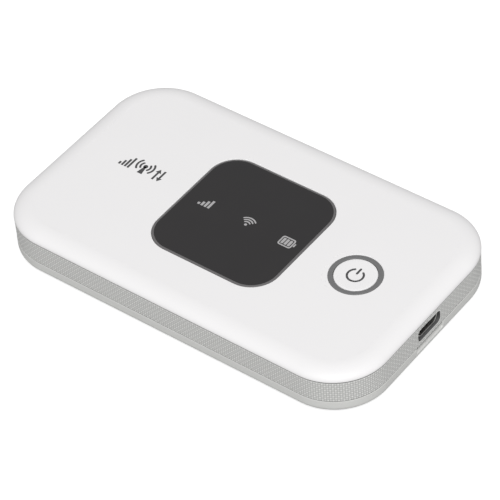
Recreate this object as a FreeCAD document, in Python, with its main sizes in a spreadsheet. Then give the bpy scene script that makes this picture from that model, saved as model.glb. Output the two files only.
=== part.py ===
import FreeCAD, Part
import math
import os
import re
import Sketcher
from FreeCAD import Vector

# A pocket mobile hotspot: a white top cover over a grey band housing, a white back
# cover that pulls off, a battery in the bay behind it and one circuit board inside.
# Millimetres, +Z up, origin at the bottom centre. The USB end faces +X.

os.makedirs("parts", exist_ok=True)
doc = FreeCAD.newDocument("mobile_hotspot")

# ---------------------------------------------------------------- driving dimensions
SIZES = {
    # outline in plan, shared by both covers and the band
    "length": 99.0,
    "width": 59.0,
    "outline_corner": 13.4,
    # the stack, from the table up; their sum is the height
    "base_skin": 1.2,
    "battery_rattle": 0.25,
    "battery_thick": 4.6,
    "battery_relief": 0.1,
    "deck_skin": 0.8,
    "under_board_room": 1.2,
    "board_thick": 1.0,
    "over_board_room": 1.65,
    "lid_skin": 1.2,
    # the two seams and the soft edges of the covers
    "lid_height": 2.1,
    "lid_edge_run": 4.6,
    "lid_edge_drop": 2.0,
    "base_height": 4.0,
    "base_edge_run": 4.0,
    "base_edge_rise": 2.2,
    # walls and the joints between the shells
    "wall": 1.5,
    "band_inset": 0.15,
    "tongue_wall": 0.8,
    "tongue_reach": 0.9,
    "tongue_gap": 0.1,
    "lip_wall": 0.9,
    "lip_reach": 1.0,
    "lip_gap": 0.15,
    "snap_proud": 0.1,
    "snap_length": 6.0,
    "snap_height": 0.5,
    # display window and what lights it
    "window_length": 33.1,
    "window_width": 33.1,
    "window_corner": 6.8,
    "window_gap": 0.1,
    "lens_thick": 1.0,
    "tape_thick": 0.1,
    "tape_wide": 4.0,
    "window_floor": 0.9,
    "window_backing": 2.0,
    "icon_pitch": 11.3,
    "icon_middle": 0.7,
    "icon_well_length": 6.6,
    "icon_well_width": 4.2,
    "shield_web": 1.0,
    "led_length": 1.6,
    "led_width": 0.8,
    "led_height": 0.6,
    # power button
    "button_centre": 30.3,
    "bezel_outer": 6.1,
    "bezel_inner": 5.0,
    "bezel_thick": 0.6,
    "bezel_gap": 0.03,
    "button_gap": 0.13,
    "bore_gap": 0.3,
    "flange_reach": 0.75,
    "flange_thick": 0.5,
    "flange_gap": 0.06,
    "nub_radius": 1.2,
    "switch_side": 4.5,
    "switch_height": 0.55,
    "plunger_radius": 1.0,
    "plunger_gap": 0.05,
    "plunger_proud": 0.25,
    "button_travel": 0.2,
    # circuit board and its fixings
    "board_inset": 2.8,
    "boss_inset": 8.0,
    "boss_radius": 2.2,
    "boss_gap": 0.25,
    "housing_screw_radius": 0.78,
    "housing_screw_head": 1.5,
    "housing_screw_head_thick": 0.8,
    "housing_screw_bite": 3.2,
    "post_x": 22.0,
    "post_inset": 6.3,
    "post_radius": 1.7,
    "board_screw_radius": 0.6,
    "board_screw_head": 1.15,
    "board_screw_head_thick": 0.5,
    "board_screw_bite": 1.2,
    "thread_gap": 0.02,
    "shank_gap": 0.15,
    # micro USB receptacle
    "usb_width": 7.5,
    "usb_height": 2.5,
    "usb_depth": 5.6,
    "usb_metal": 0.25,
    "usb_setback": 0.6,
    "usb_taper": 0.9,
    "usb_plug_room": 0.47,
    "usb_opening_corner": 1.2,
    "usb_side_room": 0.6,
    # battery bay
    "battery_length": 60.0,
    "battery_width": 42.0,
    "battery_corner": 2.0,
    "battery_setback": 13.5,
    "battery_cap": 3.0,
    "battery_gap": 0.3,
    "bay_wall": 1.0,
    "bay_floor_gap": 0.8,
    "contact_pitch": 3.0,
    "pad_width": 2.0,
    "pad_height": 2.4,
    "pad_thick": 0.15,
    "connector_length": 4.0,
    "connector_width": 10.0,
    "connector_gap": 0.2,
    "leaf_width": 0.9,
    "leaf_thick": 0.15,
    "leaf_clear": 0.05,
    # SIM socket and reset switch
    "sim_setback": 4.5,
    "sim_pocket": 6.0,
    "sim_length": 12.0,
    "sim_width": 13.5,
    "sim_height": 1.2,
    "sim_metal": 0.2,
    "sim_base": 0.4,
    "sim_window_gap": 0.5,
    "reset_x": 14.5,
    "reset_y": 13.5,
    "reset_side": 3.0,
    "reset_height": 0.6,
    "reset_plunger_radius": 0.65,
    "reset_hole": 0.9,
    # screening cans and antennas
    "can_height": 1.4,
    "can_metal": 0.2,
    "antenna_thick": 0.15,
    "antenna_setback": 3.5,
    "antenna_length": 8.0,
    "main_antenna_width": 33.0,
    "side_antenna_width": 12.0,
    "side_antenna_start": 4.6,
    "feed_pitch": 6.0,
    "spring_length": 2.4,
    "spring_width": 1.2,
    # pry notch
    "notch_width": 10.0,
    "notch_depth": 1.1,
    "notch_height": 1.5,
}

# Levels and places worked out from the driving dimensions.
LEVELS = {
    "battery_bottom": "base_skin + battery_rattle",
    "battery_top": "battery_bottom + battery_thick",
    "deck_bottom": "battery_top + battery_relief",
    "deck_top": "deck_bottom + deck_skin",
    "board_bottom": "deck_top + under_board_room",
    "board_top": "board_bottom + board_thick",
    "ceiling": "board_top + over_board_room",
    "height": "ceiling + lid_skin",
    "lid_seam": "height - lid_height",
    "base_seam": "base_height",
    "east": "length / 2",
    "north": "width / 2",
    "tongue_inset": "wall + tongue_gap",
    "cavity_inset": "tongue_inset + tongue_wall",
    "lip_inset": "wall + lip_gap",
    "tray_inset": "lip_inset + lip_wall",
    "lens_bottom": "height - lens_thick",
    "recess_floor": "lens_bottom - tape_thick",
    "backing_bottom": "recess_floor - window_floor",
    "usb_centre": "board_bottom - usb_height / 2",
    "usb_front": "east - usb_setback",
    "usb_back": "usb_front - usb_depth",
    "usb_opening_width": "usb_width + 2 * usb_plug_room",
    "usb_opening_height": "usb_height + 2 * usb_plug_room",
    "button_radius": "bezel_inner - button_gap",
    "button_bore": "bezel_inner + bore_gap",
    "flange_radius": "button_bore + flange_reach",
    "flange_top": "ceiling - flange_gap",
    "flange_bottom": "flange_top - flange_thick",
    "switch_top": "board_top + switch_height",
    "plunger_top": "switch_top + plunger_proud",
    "boss_x": "east - boss_inset",
    "boss_y": "north - boss_inset",
    "post_y": "north - post_inset",
    "battery_east": "east - battery_setback",
    "battery_middle": "battery_east - battery_length / 2",
    "connector_west": "battery_east + battery_gap + bay_wall + connector_gap",
    "contact_level": "battery_bottom + battery_thick / 2",
    "sim_window_west": "-east + sim_setback",
    "sim_west": "sim_window_west + sim_pocket",
    "sim_middle": "sim_west + sim_length / 2",
    "sim_bottom": "board_bottom - sim_height",
    "reset_centre": "-east + reset_x",
    "reset_bottom": "board_bottom - reset_height",
    "antenna_middle": "east - antenna_setback - antenna_length / 2",
}


def fill_sheets():
    """Put the driving numbers in one sheet and the levels, as formulas, in another."""
    sizes = doc.addObject("Spreadsheet::Sheet", "sizes")
    for row, (word, number) in enumerate(SIZES.items(), start=1):
        sizes.set(f"A{row}", str(number))
        sizes.setAlias(f"A{row}", word)
    doc.recompute()
    levels = doc.addObject("Spreadsheet::Sheet", "levels")
    for row, (word, formula) in enumerate(LEVELS.items(), start=1):
        levels.set(f"A{row}", "=" + spell(formula, own="levels"))
        levels.setAlias(f"A{row}", word)
        doc.recompute()


def spell(formula, own=""):
    """Give each word of a formula the name of the sheet that holds it."""
    def full_name(match):
        word = match[0]
        if word in SIZES:
            return f"sizes.{word}"
        if word in LEVELS:
            return word if own == "levels" else f"levels.{word}"
        return word
    return re.sub(r"[a-z]\w*", full_name, formula)


def bind(target, path, formula):
    target.setExpression(path, spell(formula))


fill_sheets()
reckoner = doc.addObject("Part::Vertex", "reckoner")


def value(formula):
    """Work a formula out to a number, for first guesses and for curves drawn point by point."""
    bind(reckoner, "X", formula)
    reckoner.recompute()
    return float(reckoner.X)


# ---------------------------------------------------------------- ways of making pieces
nodes = []
cuts = []


def node(item, name):
    """Name a finished piece; its label is the name of its file."""
    item.Label = name
    nodes.append(item)
    return item


def box(name, west, south, bottom, run, across, rise):
    """A bound box with its low corner at (west, south, bottom)."""
    item = doc.addObject("Part::Box", name)
    for path, formula in (
        ("Length", run), ("Width", across), ("Height", rise),
        ("Placement.Base.x", west), ("Placement.Base.y", south), ("Placement.Base.z", bottom),
    ):
        bind(item, path, formula)
    return item


def centred_box(name, x, y, bottom, run, across, rise):
    return box(name, f"({x}) - ({run}) / 2", f"({y}) - ({across}) / 2", bottom, run, across, rise)


def cylinder(name, x, y, bottom, radius, rise):
    item = doc.addObject("Part::Cylinder", name)
    for path, formula in (
        ("Radius", radius), ("Height", rise),
        ("Placement.Base.x", x), ("Placement.Base.y", y), ("Placement.Base.z", bottom),
    ):
        bind(item, path, formula)
    return item


def fuse(name, shapes):
    item = doc.addObject("Part::MultiFuse", name)
    item.Shapes = shapes
    return item


def group(name, pieces):
    """Several like solids that share one node."""
    item = doc.addObject("Part::Compound", name)
    item.Links = pieces
    return node(item, name)


def cut(name, base, tool):
    item = doc.addObject("Part::Cut", name)
    item.Base = base
    item.Tool = tool
    cuts.append((item, base))
    return item


def new_body(name, blank=None):
    body = doc.addObject("PartDesign::Body", name)
    if blank is not None:
        body.BaseFeature = blank
        doc.recompute()
    return node(body, name)


def sketch_on(body, name, level, role="XY_Plane"):
    """An empty sketch on one of the body's own planes, raised to a level."""
    sketch = body.newObject("Sketcher::SketchObject", f"{body.Name}_{name}")
    plane = next(item for item in body.Origin.OriginFeatures if item.Role == role)
    sketch.AttachmentSupport = [(plane, "")]
    sketch.MapMode = "FlatFace"
    bind(sketch, "AttachmentOffset.Base.z", level)
    return sketch


def pin_point(sketch, curve, point, x, y):
    """Hold one point of a sketch curve at (x, y) by two bound distances."""
    for kind, formula in (("DistanceX", x), ("DistanceY", y)):
        held = Sketcher.Constraint(kind, -1, 1, curve, point, value(formula))
        number = sketch.addConstraint(held)
        bind(sketch, f"Constraints[{number}]", formula)


def pin_radius(sketch, curve, radius):
    number = sketch.addConstraint(Sketcher.Constraint("Radius", curve, value(radius)))
    bind(sketch, f"Constraints[{number}]", radius)


def draw_polygon(sketch, corners):
    """A closed outline of straight lines through bound corners."""
    spots = [Vector(value(x), value(y), 0) for x, y in corners]
    lines = []
    for here, there in zip(spots, spots[1:] + spots[:1]):
        lines.append(sketch.addGeometry(Part.LineSegment(here, there), False))
    for index, line in enumerate(lines):
        following = lines[(index + 1) % len(lines)]
        sketch.addConstraint(Sketcher.Constraint("Coincident", line, 2, following, 1))
        pin_point(sketch, line, 1, *corners[index])


def draw_rectangle(sketch, x, y, run, across):
    west, east = f"({x}) - ({run}) / 2", f"({x}) + ({run}) / 2"
    south, north = f"({y}) - ({across}) / 2", f"({y}) + ({across}) / 2"
    draw_polygon(sketch, [(west, south), (east, south), (east, north), (west, north)])


def draw_rounded(sketch, x, y, run, across, corner):
    """A rectangle with round corners: four lines and four arcs, every joint pinned."""
    half_run, half_across, radius = value(f"({run}) / 2"), value(f"({across}) / 2"), value(corner)
    middle = Vector(value(x), value(y), 0)
    signs = [(1, 1), (-1, 1), (-1, -1), (1, -1)]
    arcs = []
    for turn, (east, north) in enumerate(signs):
        centre = middle + Vector(east * (half_run - radius), north * (half_across - radius), 0)
        circle = Part.Circle(centre, Vector(0, 0, 1), radius)
        start = turn * math.pi / 2
        arcs.append(sketch.addGeometry(Part.ArcOfCircle(circle, start, start + math.pi / 2), False))
    for arc, (east, north) in zip(arcs, signs):
        pin_point(
            sketch, arc, 3,
            f"({x}) + {east} * (({run}) / 2 - ({corner}))",
            f"({y}) + {north} * (({across}) / 2 - ({corner}))",
        )
        pin_radius(sketch, arc, corner)
    for turn, arc in enumerate(arcs):
        following = arcs[(turn + 1) % 4]
        start = sketch.getPoint(arc, 2)
        end = sketch.getPoint(following, 1)
        line = sketch.addGeometry(Part.LineSegment(start, end), False)
        sketch.addConstraint(Sketcher.Constraint("Tangent", arc, 2, line, 1))
        sketch.addConstraint(Sketcher.Constraint("Tangent", line, 2, following, 1))


def draw_circles(sketch, spots, radius):
    for x, y in spots:
        middle = Vector(value(x), value(y), 0)
        circle = sketch.addGeometry(Part.Circle(middle, Vector(0, 0, 1), value(radius)), False)
        pin_point(sketch, circle, 3, x, y)
        pin_radius(sketch, circle, radius)


def pad(body, sketch, rise):
    feature = body.newObject("PartDesign::Pad", f"{sketch.Name}_pad")
    feature.Profile = sketch
    bind(feature, "Length", rise)
    return feature


def pocket(body, sketch, depth, upward=False):
    """Cut down from the sketch, or up from it."""
    before = body.Tip
    feature = body.newObject("PartDesign::Pocket", f"{sketch.Name}_cut")
    feature.Profile = sketch
    feature.Reversed = upward
    bind(feature, "Length", depth)
    cuts.append((feature, before))
    return feature


def plate(name, x, y, bottom, run, across, rise, corner):
    """A body that starts as one round-cornered plate."""
    body = new_body(name)
    sketch = sketch_on(body, "outline", bottom)
    draw_rounded(sketch, x, y, run, across, corner)
    pad(body, sketch, rise)
    return body


def pad_outline(body, name, inset, bottom, top):
    """Add the device's outline, drawn in by an inset, between two levels."""
    sketch = sketch_on(body, name, bottom)
    draw_rounded(
        sketch, "0", "0", f"length - 2 * ({inset})", f"width - 2 * ({inset})",
        f"outline_corner - ({inset})",
    )
    pad(body, sketch, f"({top}) - ({bottom})")


def cut_outline(body, name, inset, bottom, top):
    sketch = sketch_on(body, name, bottom)
    draw_rounded(
        sketch, "0", "0", f"length - 2 * ({inset})", f"width - 2 * ({inset})",
        f"outline_corner - ({inset})",
    )
    pocket(body, sketch, f"({top}) - ({bottom})", upward=True)


def soft_slab(name, bottom, rise, run, drop, edge_down=False):
    """The device's outline as a slab whose upper (or lower) edge is a quarter ellipse.

    The profile is turned about each corner and drawn along each side. A fillet is always
    a circle, so this blank is built from its own curves, with sizes from the sheets.
    """
    corner = value("outline_corner")
    low, top = value(bottom), value(f"({bottom}) + ({rise})")
    core = corner - value(run)
    brow = top - value(drop)
    ellipse = Part.Ellipse(Vector(corner, 0, brow), Vector(core, 0, top), Vector(core, 0, brow))
    outline = [
        Part.LineSegment(Vector(0, 0, low), Vector(corner, 0, low)),
        Part.LineSegment(Vector(corner, 0, low), Vector(corner, 0, brow)),
        Part.ArcOfEllipse(ellipse, 0, math.pi / 2),
        Part.LineSegment(Vector(core, 0, top), Vector(0, 0, top)),
        Part.LineSegment(Vector(0, 0, top), Vector(0, 0, low)),
    ]
    profile = Part.Face(Part.Wire([curve.toShape() for curve in outline]))
    half_run, half_across = value("east") - corner, value("north") - corner
    up = Vector(0, 0, 1)
    pieces = [
        Part.makeBox(2 * half_run, 2 * half_across, top - low, Vector(-half_run, -half_across, low))
    ]
    for turn, (east, north) in enumerate(((1, 1), (-1, 1), (-1, -1), (1, -1))):
        centre = Vector(east * half_run, north * half_across, 0)
        section = profile.copy()
        section.rotate(Vector(0, 0, 0), up, 90 * turn)
        section.translate(centre)
        pieces.append(section.revolve(centre, up, 90))
        side = 2 * (half_across if turn % 2 == 0 else half_run)
        along = FreeCAD.Rotation(up, 90 * turn).multVec(Vector(0, -side, 0))
        pieces.append(section.extrude(along))
    solid = pieces[0].multiFuse(pieces[1:]).removeSplitter()
    if edge_down:
        solid = solid.mirror(Vector(0, 0, (low + top) / 2), up)
    blank = doc.addObject("Part::Feature", name)
    blank.Shape = solid
    return blank


def corners_of(x, y):
    """The four places (+-x, +-y)."""
    return [(f"{east}({x})", f"{north}({y})") for east in ("", "-") for north in ("", "-")]


# ---------------------------------------------------------------- top cover and window
def make_top_cover():
    """White moulded lid: soft upper edge, tongue into the band, window and button seats."""
    blank = soft_slab("lid_blank", "lid_seam", "lid_height", "lid_edge_run", "lid_edge_drop")
    cover = new_body("top_cover", blank)
    pad_outline(cover, "tongue", "tongue_inset", "lid_seam - tongue_reach", "lid_seam")
    cut_outline(cover, "cavity", "cavity_inset", "lid_seam - tongue_reach", "ceiling")

    backing = sketch_on(cover, "backing", "backing_bottom")
    draw_rounded(
        backing, "0", "0", "window_length + 2 * window_backing",
        "window_width + 2 * window_backing", "window_corner + window_backing",
    )
    pad(cover, backing, "ceiling - backing_bottom")

    bosses = sketch_on(cover, "bosses", "deck_top")
    draw_circles(bosses, corners_of("boss_x", "boss_y"), "boss_radius")
    pad(cover, bosses, "ceiling - deck_top")
    posts = sketch_on(cover, "posts", "board_top")
    draw_circles(posts, corners_of("post_x", "post_y"), "post_radius")
    pad(cover, posts, "ceiling - board_top")

    recess = sketch_on(cover, "window_recess", "height")
    draw_rounded(
        recess, "0", "0", "window_length + 2 * window_gap", "window_width + 2 * window_gap",
        "window_corner + window_gap",
    )
    pocket(cover, recess, "height - recess_floor")
    slot = sketch_on(cover, "icon_slot", "recess_floor")
    draw_rectangle(
        slot, "icon_middle", "0", "2 * icon_pitch + icon_well_length + 2 * shield_web",
        "icon_well_width + 2 * shield_web",
    )
    pocket(cover, slot, "window_floor")

    seat = sketch_on(cover, "bezel_seat", "height")
    draw_circles(seat, [("button_centre", "0")], "bezel_outer + bezel_gap")
    pocket(cover, seat, "bezel_thick")
    bore = sketch_on(cover, "button_bore", "height - bezel_thick")
    draw_circles(bore, [("button_centre", "0")], "button_bore")
    pocket(cover, bore, "lid_skin - bezel_thick")

    pilots = sketch_on(cover, "boss_pilots", "deck_top")
    draw_circles(pilots, corners_of("boss_x", "boss_y"), "housing_screw_radius + thread_gap")
    pocket(cover, pilots, "housing_screw_bite + 2 * thread_gap", upward=True)
    pilots = sketch_on(cover, "post_pilots", "board_top")
    draw_circles(pilots, corners_of("post_x", "post_y"), "board_screw_radius + thread_gap")
    pocket(cover, pilots, "board_screw_bite + 2 * thread_gap", upward=True)


def make_window():
    """Smoked lens set flush in its recess on a frame of thin double-sided tape."""
    plate(
        "display_window", "0", "0", "lens_bottom", "window_length", "window_width",
        "lens_thick", "window_corner",
    )
    tape = plate(
        "window_tape", "0", "0", "recess_floor", "window_length", "window_width",
        "tape_thick", "window_corner",
    )
    opening = sketch_on(tape, "opening", "recess_floor")
    draw_rounded(
        opening, "0", "0", "window_length - 2 * tape_wide", "window_width - 2 * tape_wide",
        "window_corner - tape_wide",
    )
    pocket(tape, opening, "tape_thick", upward=True)


def icon_places():
    return [f"icon_middle + {step} * icon_pitch" for step in (-1, 0, 1)]


def make_icon_lights():
    """A white block with a well for each icon stands on the board around three LEDs."""
    shield = new_body("light_shield")
    block = sketch_on(shield, "block", "board_top")
    draw_rectangle(
        block, "icon_middle", "0",
        "2 * icon_pitch + icon_well_length + 2 * shield_web - 2 * window_gap",
        "icon_well_width + 2 * shield_web - 2 * window_gap",
    )
    pad(shield, block, "recess_floor - board_top")
    for index, x in enumerate(icon_places()):
        well = sketch_on(shield, f"well_{index}", "board_top")
        draw_rectangle(well, x, "0", "icon_well_length", "icon_well_width - 2 * window_gap")
        pocket(shield, well, "recess_floor - board_top", upward=True)
    group("status_leds", [
        centred_box(f"led_{index}", x, "0", "board_top", "led_length", "led_width", "led_height")
        for index, x in enumerate(icon_places())
    ])


# ---------------------------------------------------------------- power button
def make_power_button():
    """A dark trim ring, the white cap inside it and the switch that the cap presses."""
    bezel = new_body("button_bezel")
    ring = sketch_on(bezel, "ring", "height - bezel_thick")
    draw_circles(ring, [("button_centre", "0")], "bezel_outer")
    draw_circles(ring, [("button_centre", "0")], "bezel_inner")
    pad(bezel, ring, "bezel_thick")

    cap = new_body("power_button")
    for name, bottom, top, radius in (
        ("flange", "flange_bottom", "flange_top", "flange_radius"),
        ("cap", "flange_top", "height", "button_radius"),
        ("nub", "plunger_top", "flange_bottom", "nub_radius"),
    ):
        disc = sketch_on(cap, name, bottom)
        draw_circles(disc, [("button_centre", "0")], radius)
        pad(cap, disc, f"({top}) - ({bottom})")

    case = new_body("power_switch_case")
    base = sketch_on(case, "base", "board_top")
    draw_rectangle(base, "button_centre", "0", "switch_side", "switch_side")
    pad(case, base, "switch_height")
    well = sketch_on(case, "well", "switch_top")
    draw_circles(well, [("button_centre", "0")], "plunger_radius + plunger_gap")
    pocket(case, well, "2 * button_travel")
    node(
        cylinder(
            "power_switch_plunger", "button_centre", "0", "switch_top - button_travel / 2",
            "plunger_radius", "plunger_proud + button_travel / 2",
        ),
        "power_switch_plunger",
    )


# ---------------------------------------------------------------- circuit board
def make_board():
    """One green board fills the plan under the lid, bored for the bosses and screws."""
    board = plate(
        "main_board", "0", "0", "board_bottom", "length - 2 * board_inset",
        "width - 2 * board_inset", "board_thick", "outline_corner - board_inset",
    )
    holes = sketch_on(board, "boss_holes", "board_bottom")
    draw_circles(holes, corners_of("boss_x", "boss_y"), "boss_radius + boss_gap")
    pocket(board, holes, "board_thick", upward=True)
    holes = sketch_on(board, "screw_holes", "board_bottom")
    draw_circles(holes, corners_of("post_x", "post_y"), "board_screw_radius + shank_gap")
    pocket(board, holes, "board_thick", upward=True)


def make_can(name, x, y, run, across):
    """A folded screening can, open towards the board."""
    can = plate(name, x, y, "board_top", run, across, "can_height", "2 * can_metal")
    room = sketch_on(can, "room", "board_top")
    draw_rounded(
        room, x, y, f"{run} - 2 * can_metal", f"{across} - 2 * can_metal", "can_metal",
    )
    pocket(can, room, "can_height - can_metal", upward=True)


def make_chip(name, x, y, run, across, rise):
    node(centred_box(name, x, y, "board_top", run, across, rise), name)


# Screening cans and packages on the board: x, y, length, width and, for a package, height.
CANS = {
    "modem_can": ("-28.6", "-7", "16", "20"),
    "radio_can": ("-28.6", "11.4", "16", "12"),
    "wifi_can": ("0", "north - 6.5", "24", "6.4"),
}
PACKAGES = {
    "modem_chip": ("-28.6", "-10.4", "11", "11", "1.0"),
    "memory_chip": ("-28.6", "-0.8", "9", "6.4", "0.8"),
    "radio_chip": ("-31.6", "11.4", "6", "6", "0.8"),
    "amplifier_chip": ("-24.6", "11.4", "4", "5", "0.9"),
    "wifi_chip": ("-5", "north - 6.5", "5", "5", "0.8"),
    "power_chip": ("24", "-11", "5", "5", "0.9"),
    "power_inductor": ("24", "-16.6", "4", "4", "1.2"),
}
# Rows of small resistors and capacitors: first x, y and how many.
PASSIVE_ROWS = [
    (19.8, 9.0, 6), (19.8, 11.0, 6), (19.8, 13.0, 6), (28.2, -9.0, 4), (28.2, -11.0, 4),
    (-16.6, -22.6, 9), (3.0, -22.6, 9), (-16.6, -20.6, 9), (3.0, -20.6, 9),
]
PASSIVE_PITCH = 1.7
PASSIVE_SIZE = ("1.0", "0.5", "0.5")


def make_board_parts():
    for name, place in CANS.items():
        make_can(name, *place)
    for name, place in PACKAGES.items():
        make_chip(name, *place)
    spots = [
        (first + PASSIVE_PITCH * step, y)
        for first, y, count in PASSIVE_ROWS for step in range(count)
    ]
    group("board_passives", [
        centred_box(f"passive_{index}", str(x), str(y), "board_top", *PASSIVE_SIZE)
        for index, (x, y) in enumerate(spots)
    ])


# ---------------------------------------------------------------- USB receptacle
def usb_section(inset):
    """Half-hexagon mouth: full width next to the board, tapered corners below."""
    half = f"usb_width / 2 - {inset}"
    top = f"board_bottom - {inset}"
    bottom = f"board_bottom - usb_height + {inset}"
    waist = "board_bottom - usb_height / 2"
    return [
        (f"-({half})", top), (f"-({half})", waist), (f"-({half}) + usb_taper", bottom),
        (f"{half} - usb_taper", bottom), (half, waist), (half, top),
    ]


def make_usb():
    shell = new_body("usb_shell")
    section = sketch_on(shell, "section", "usb_back", role="YZ_Plane")
    draw_polygon(section, usb_section("0"))
    pad(shell, section, "usb_depth")
    mouth = sketch_on(shell, "mouth", "usb_front", role="YZ_Plane")
    draw_polygon(mouth, usb_section("usb_metal"))
    pocket(shell, mouth, "usb_depth - usb_metal")

    back = "usb_back + usb_metal"
    heel = centred_box(
        "usb_heel", f"{back} + 0.6", "0", "board_bottom - usb_height / 2", "1.2",
        "usb_width - 2 * usb_metal - 0.4", "usb_height / 2 - usb_metal - 0.05",
    )
    blade = centred_box(
        "usb_blade", f"{back} + 2.2", "0", "usb_centre", "4.4", "3.6", "0.6",
    )
    node(fuse("usb_tongue", [heel, blade]), "usb_tongue")
    group("usb_contacts", [
        centred_box(
            f"usb_contact_{index}", f"{back} + 2.6", f"{0.65 * (index - 2)}",
            "usb_centre - 0.1", "3.2", "0.3", "0.1",
        )
        for index in range(5)
    ])


# ---------------------------------------------------------------- SIM socket, reset switch
def make_sim_socket():
    """Push-in socket under the board; its mouth faces -X over a pocket for the card."""
    node(
        centred_box(
            "sim_base", "sim_middle", "0", "board_bottom - sim_base", "sim_length",
            "sim_width - 2 * sim_metal", "sim_base",
        ),
        "sim_base",
    )
    shell = new_body("sim_shell")
    block = sketch_on(shell, "block", "sim_bottom")
    draw_rectangle(block, "sim_middle", "0", "sim_length", "sim_width")
    pad(shell, block, "sim_height")
    slot = sketch_on(shell, "slot", "sim_west", role="YZ_Plane")
    draw_rectangle(
        slot, "0", "board_bottom - sim_height / 2 + sim_metal / 2", "sim_width - 2 * sim_metal",
        "sim_height - sim_metal",
    )
    pocket(shell, slot, "sim_length", upward=True)
    group("sim_contacts", [
        centred_box(
            f"sim_contact_{row}_{column}", f"sim_middle + {2.54 * (column - 1)}",
            f"{7.62 * (row - 0.5)}", "board_bottom - sim_base - 0.15", "1.6", "0.6", "0.15",
        )
        for row in range(2) for column in range(3)
    ])


def make_reset_switch():
    case = new_body("reset_switch_case")
    base = sketch_on(case, "base", "reset_bottom")
    draw_rectangle(base, "reset_centre", "reset_y", "reset_side", "reset_side")
    pad(case, base, "reset_height")
    well = sketch_on(case, "well", "reset_bottom")
    draw_circles(well, [("reset_centre", "reset_y")], "reset_plunger_radius + plunger_gap")
    pocket(case, well, "2 * button_travel", upward=True)
    node(
        cylinder(
            "reset_switch_plunger", "reset_centre", "reset_y", "reset_bottom - plunger_proud",
            "reset_plunger_radius", "plunger_proud + button_travel / 2",
        ),
        "reset_switch_plunger",
    )


# ---------------------------------------------------------------- battery and its connector
def make_battery():
    """Wrapped cell with a plastic end cap that carries three flush pads."""
    plate(
        "battery_cell", "battery_middle - battery_cap / 2", "0", "battery_bottom",
        "battery_length - battery_cap", "battery_width", "battery_thick", "battery_corner",
    )
    cap = new_body("battery_cap")
    block = sketch_on(cap, "block", "battery_bottom")
    draw_rectangle(
        block, "battery_east - battery_cap / 2", "0", "battery_cap",
        "battery_width - 2 * battery_corner",
    )
    pad(cap, block, "battery_thick")
    places = [f"{step} * contact_pitch" for step in (-1, 0, 1)]
    for index, y in enumerate(places):
        seat = sketch_on(cap, f"seat_{index}", "battery_east", role="YZ_Plane")
        draw_rectangle(seat, y, "contact_level", "pad_width", "pad_height")
        pocket(cap, seat, "pad_thick")
    group("battery_pads", [
        box(
            f"battery_pad_{index}", "battery_east - pad_thick", f"{y} - pad_width / 2",
            "contact_level - pad_height / 2", "pad_thick", "pad_width", "pad_height",
        )
        for index, y in enumerate(places)
    ])

    node(
        box(
            "battery_connector", "connector_west", "-connector_width / 2",
            "contact_level - pad_height", "connector_length", "connector_width",
            "board_bottom - contact_level + pad_height",
        ),
        "battery_connector",
    )
    group("battery_springs", [make_battery_spring(index, y) for index, y in enumerate(places)])


def make_battery_spring(index, y):
    """One bent leaf that reaches from the connector to a pad: two arms and a face."""
    tip = "battery_east + leaf_clear"
    south = f"{y} - leaf_width / 2"
    low, high = "contact_level - pad_height / 3", "contact_level + pad_height / 3"
    face = box(
        f"leaf_face_{index}", tip, south, low, "leaf_thick", "leaf_width", f"{high} - ({low})",
    )
    arms = [
        box(
            f"leaf_{name}_{index}", tip, south, level, f"connector_west - ({tip})", "leaf_width",
            "leaf_thick",
        )
        for name, level in (("foot", low), ("head", f"{high} - leaf_thick"))
    ]
    return fuse(f"leaf_{index}", [face] + arms)


# ---------------------------------------------------------------- antennas
def make_antennas():
    """Thin flexible antennas under the lid and the springs that feed them."""
    side_middle = "side_antenna_start + side_antenna_width / 2"
    for name, x, y, across in (
        ("main_antenna", "-(antenna_middle)", "0", "main_antenna_width"),
        ("diversity_antenna", "antenna_middle", side_middle, "side_antenna_width"),
        ("wifi_antenna", "antenna_middle", f"-({side_middle})", "side_antenna_width"),
    ):
        node(
            centred_box(
                name, x, y, "ceiling - antenna_thick", "antenna_length", across, "antenna_thick",
            ),
            name,
        )
    feeds = [
        (x, f"{y} {side} feed_pitch / 2")
        for x, y in (
            ("-(antenna_middle)", "0"), ("antenna_middle", side_middle),
            ("antenna_middle", f"-({side_middle})"),
        )
        for side in ("-", "+")
    ]
    group("antenna_springs", [make_spring(index, x, y) for index, (x, y) in enumerate(feeds)])


def make_spring(index, x, y):
    """A C-shaped spring finger from the board up to an antenna pad."""
    west, south = f"{x} - spring_length / 2", f"{y} - spring_width / 2"
    top = "ceiling - antenna_thick"
    back = box(
        f"spring_back_{index}", west, south, "board_top", "leaf_thick", "spring_width",
        f"{top} - board_top",
    )
    arms = [
        box(
            f"spring_{name}_{index}", west, south, level, "spring_length", "spring_width",
            "leaf_thick",
        )
        for name, level in (("foot", "board_top"), ("finger", f"{top} - leaf_thick"))
    ]
    return fuse(f"spring_{index}", [back] + arms)


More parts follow.
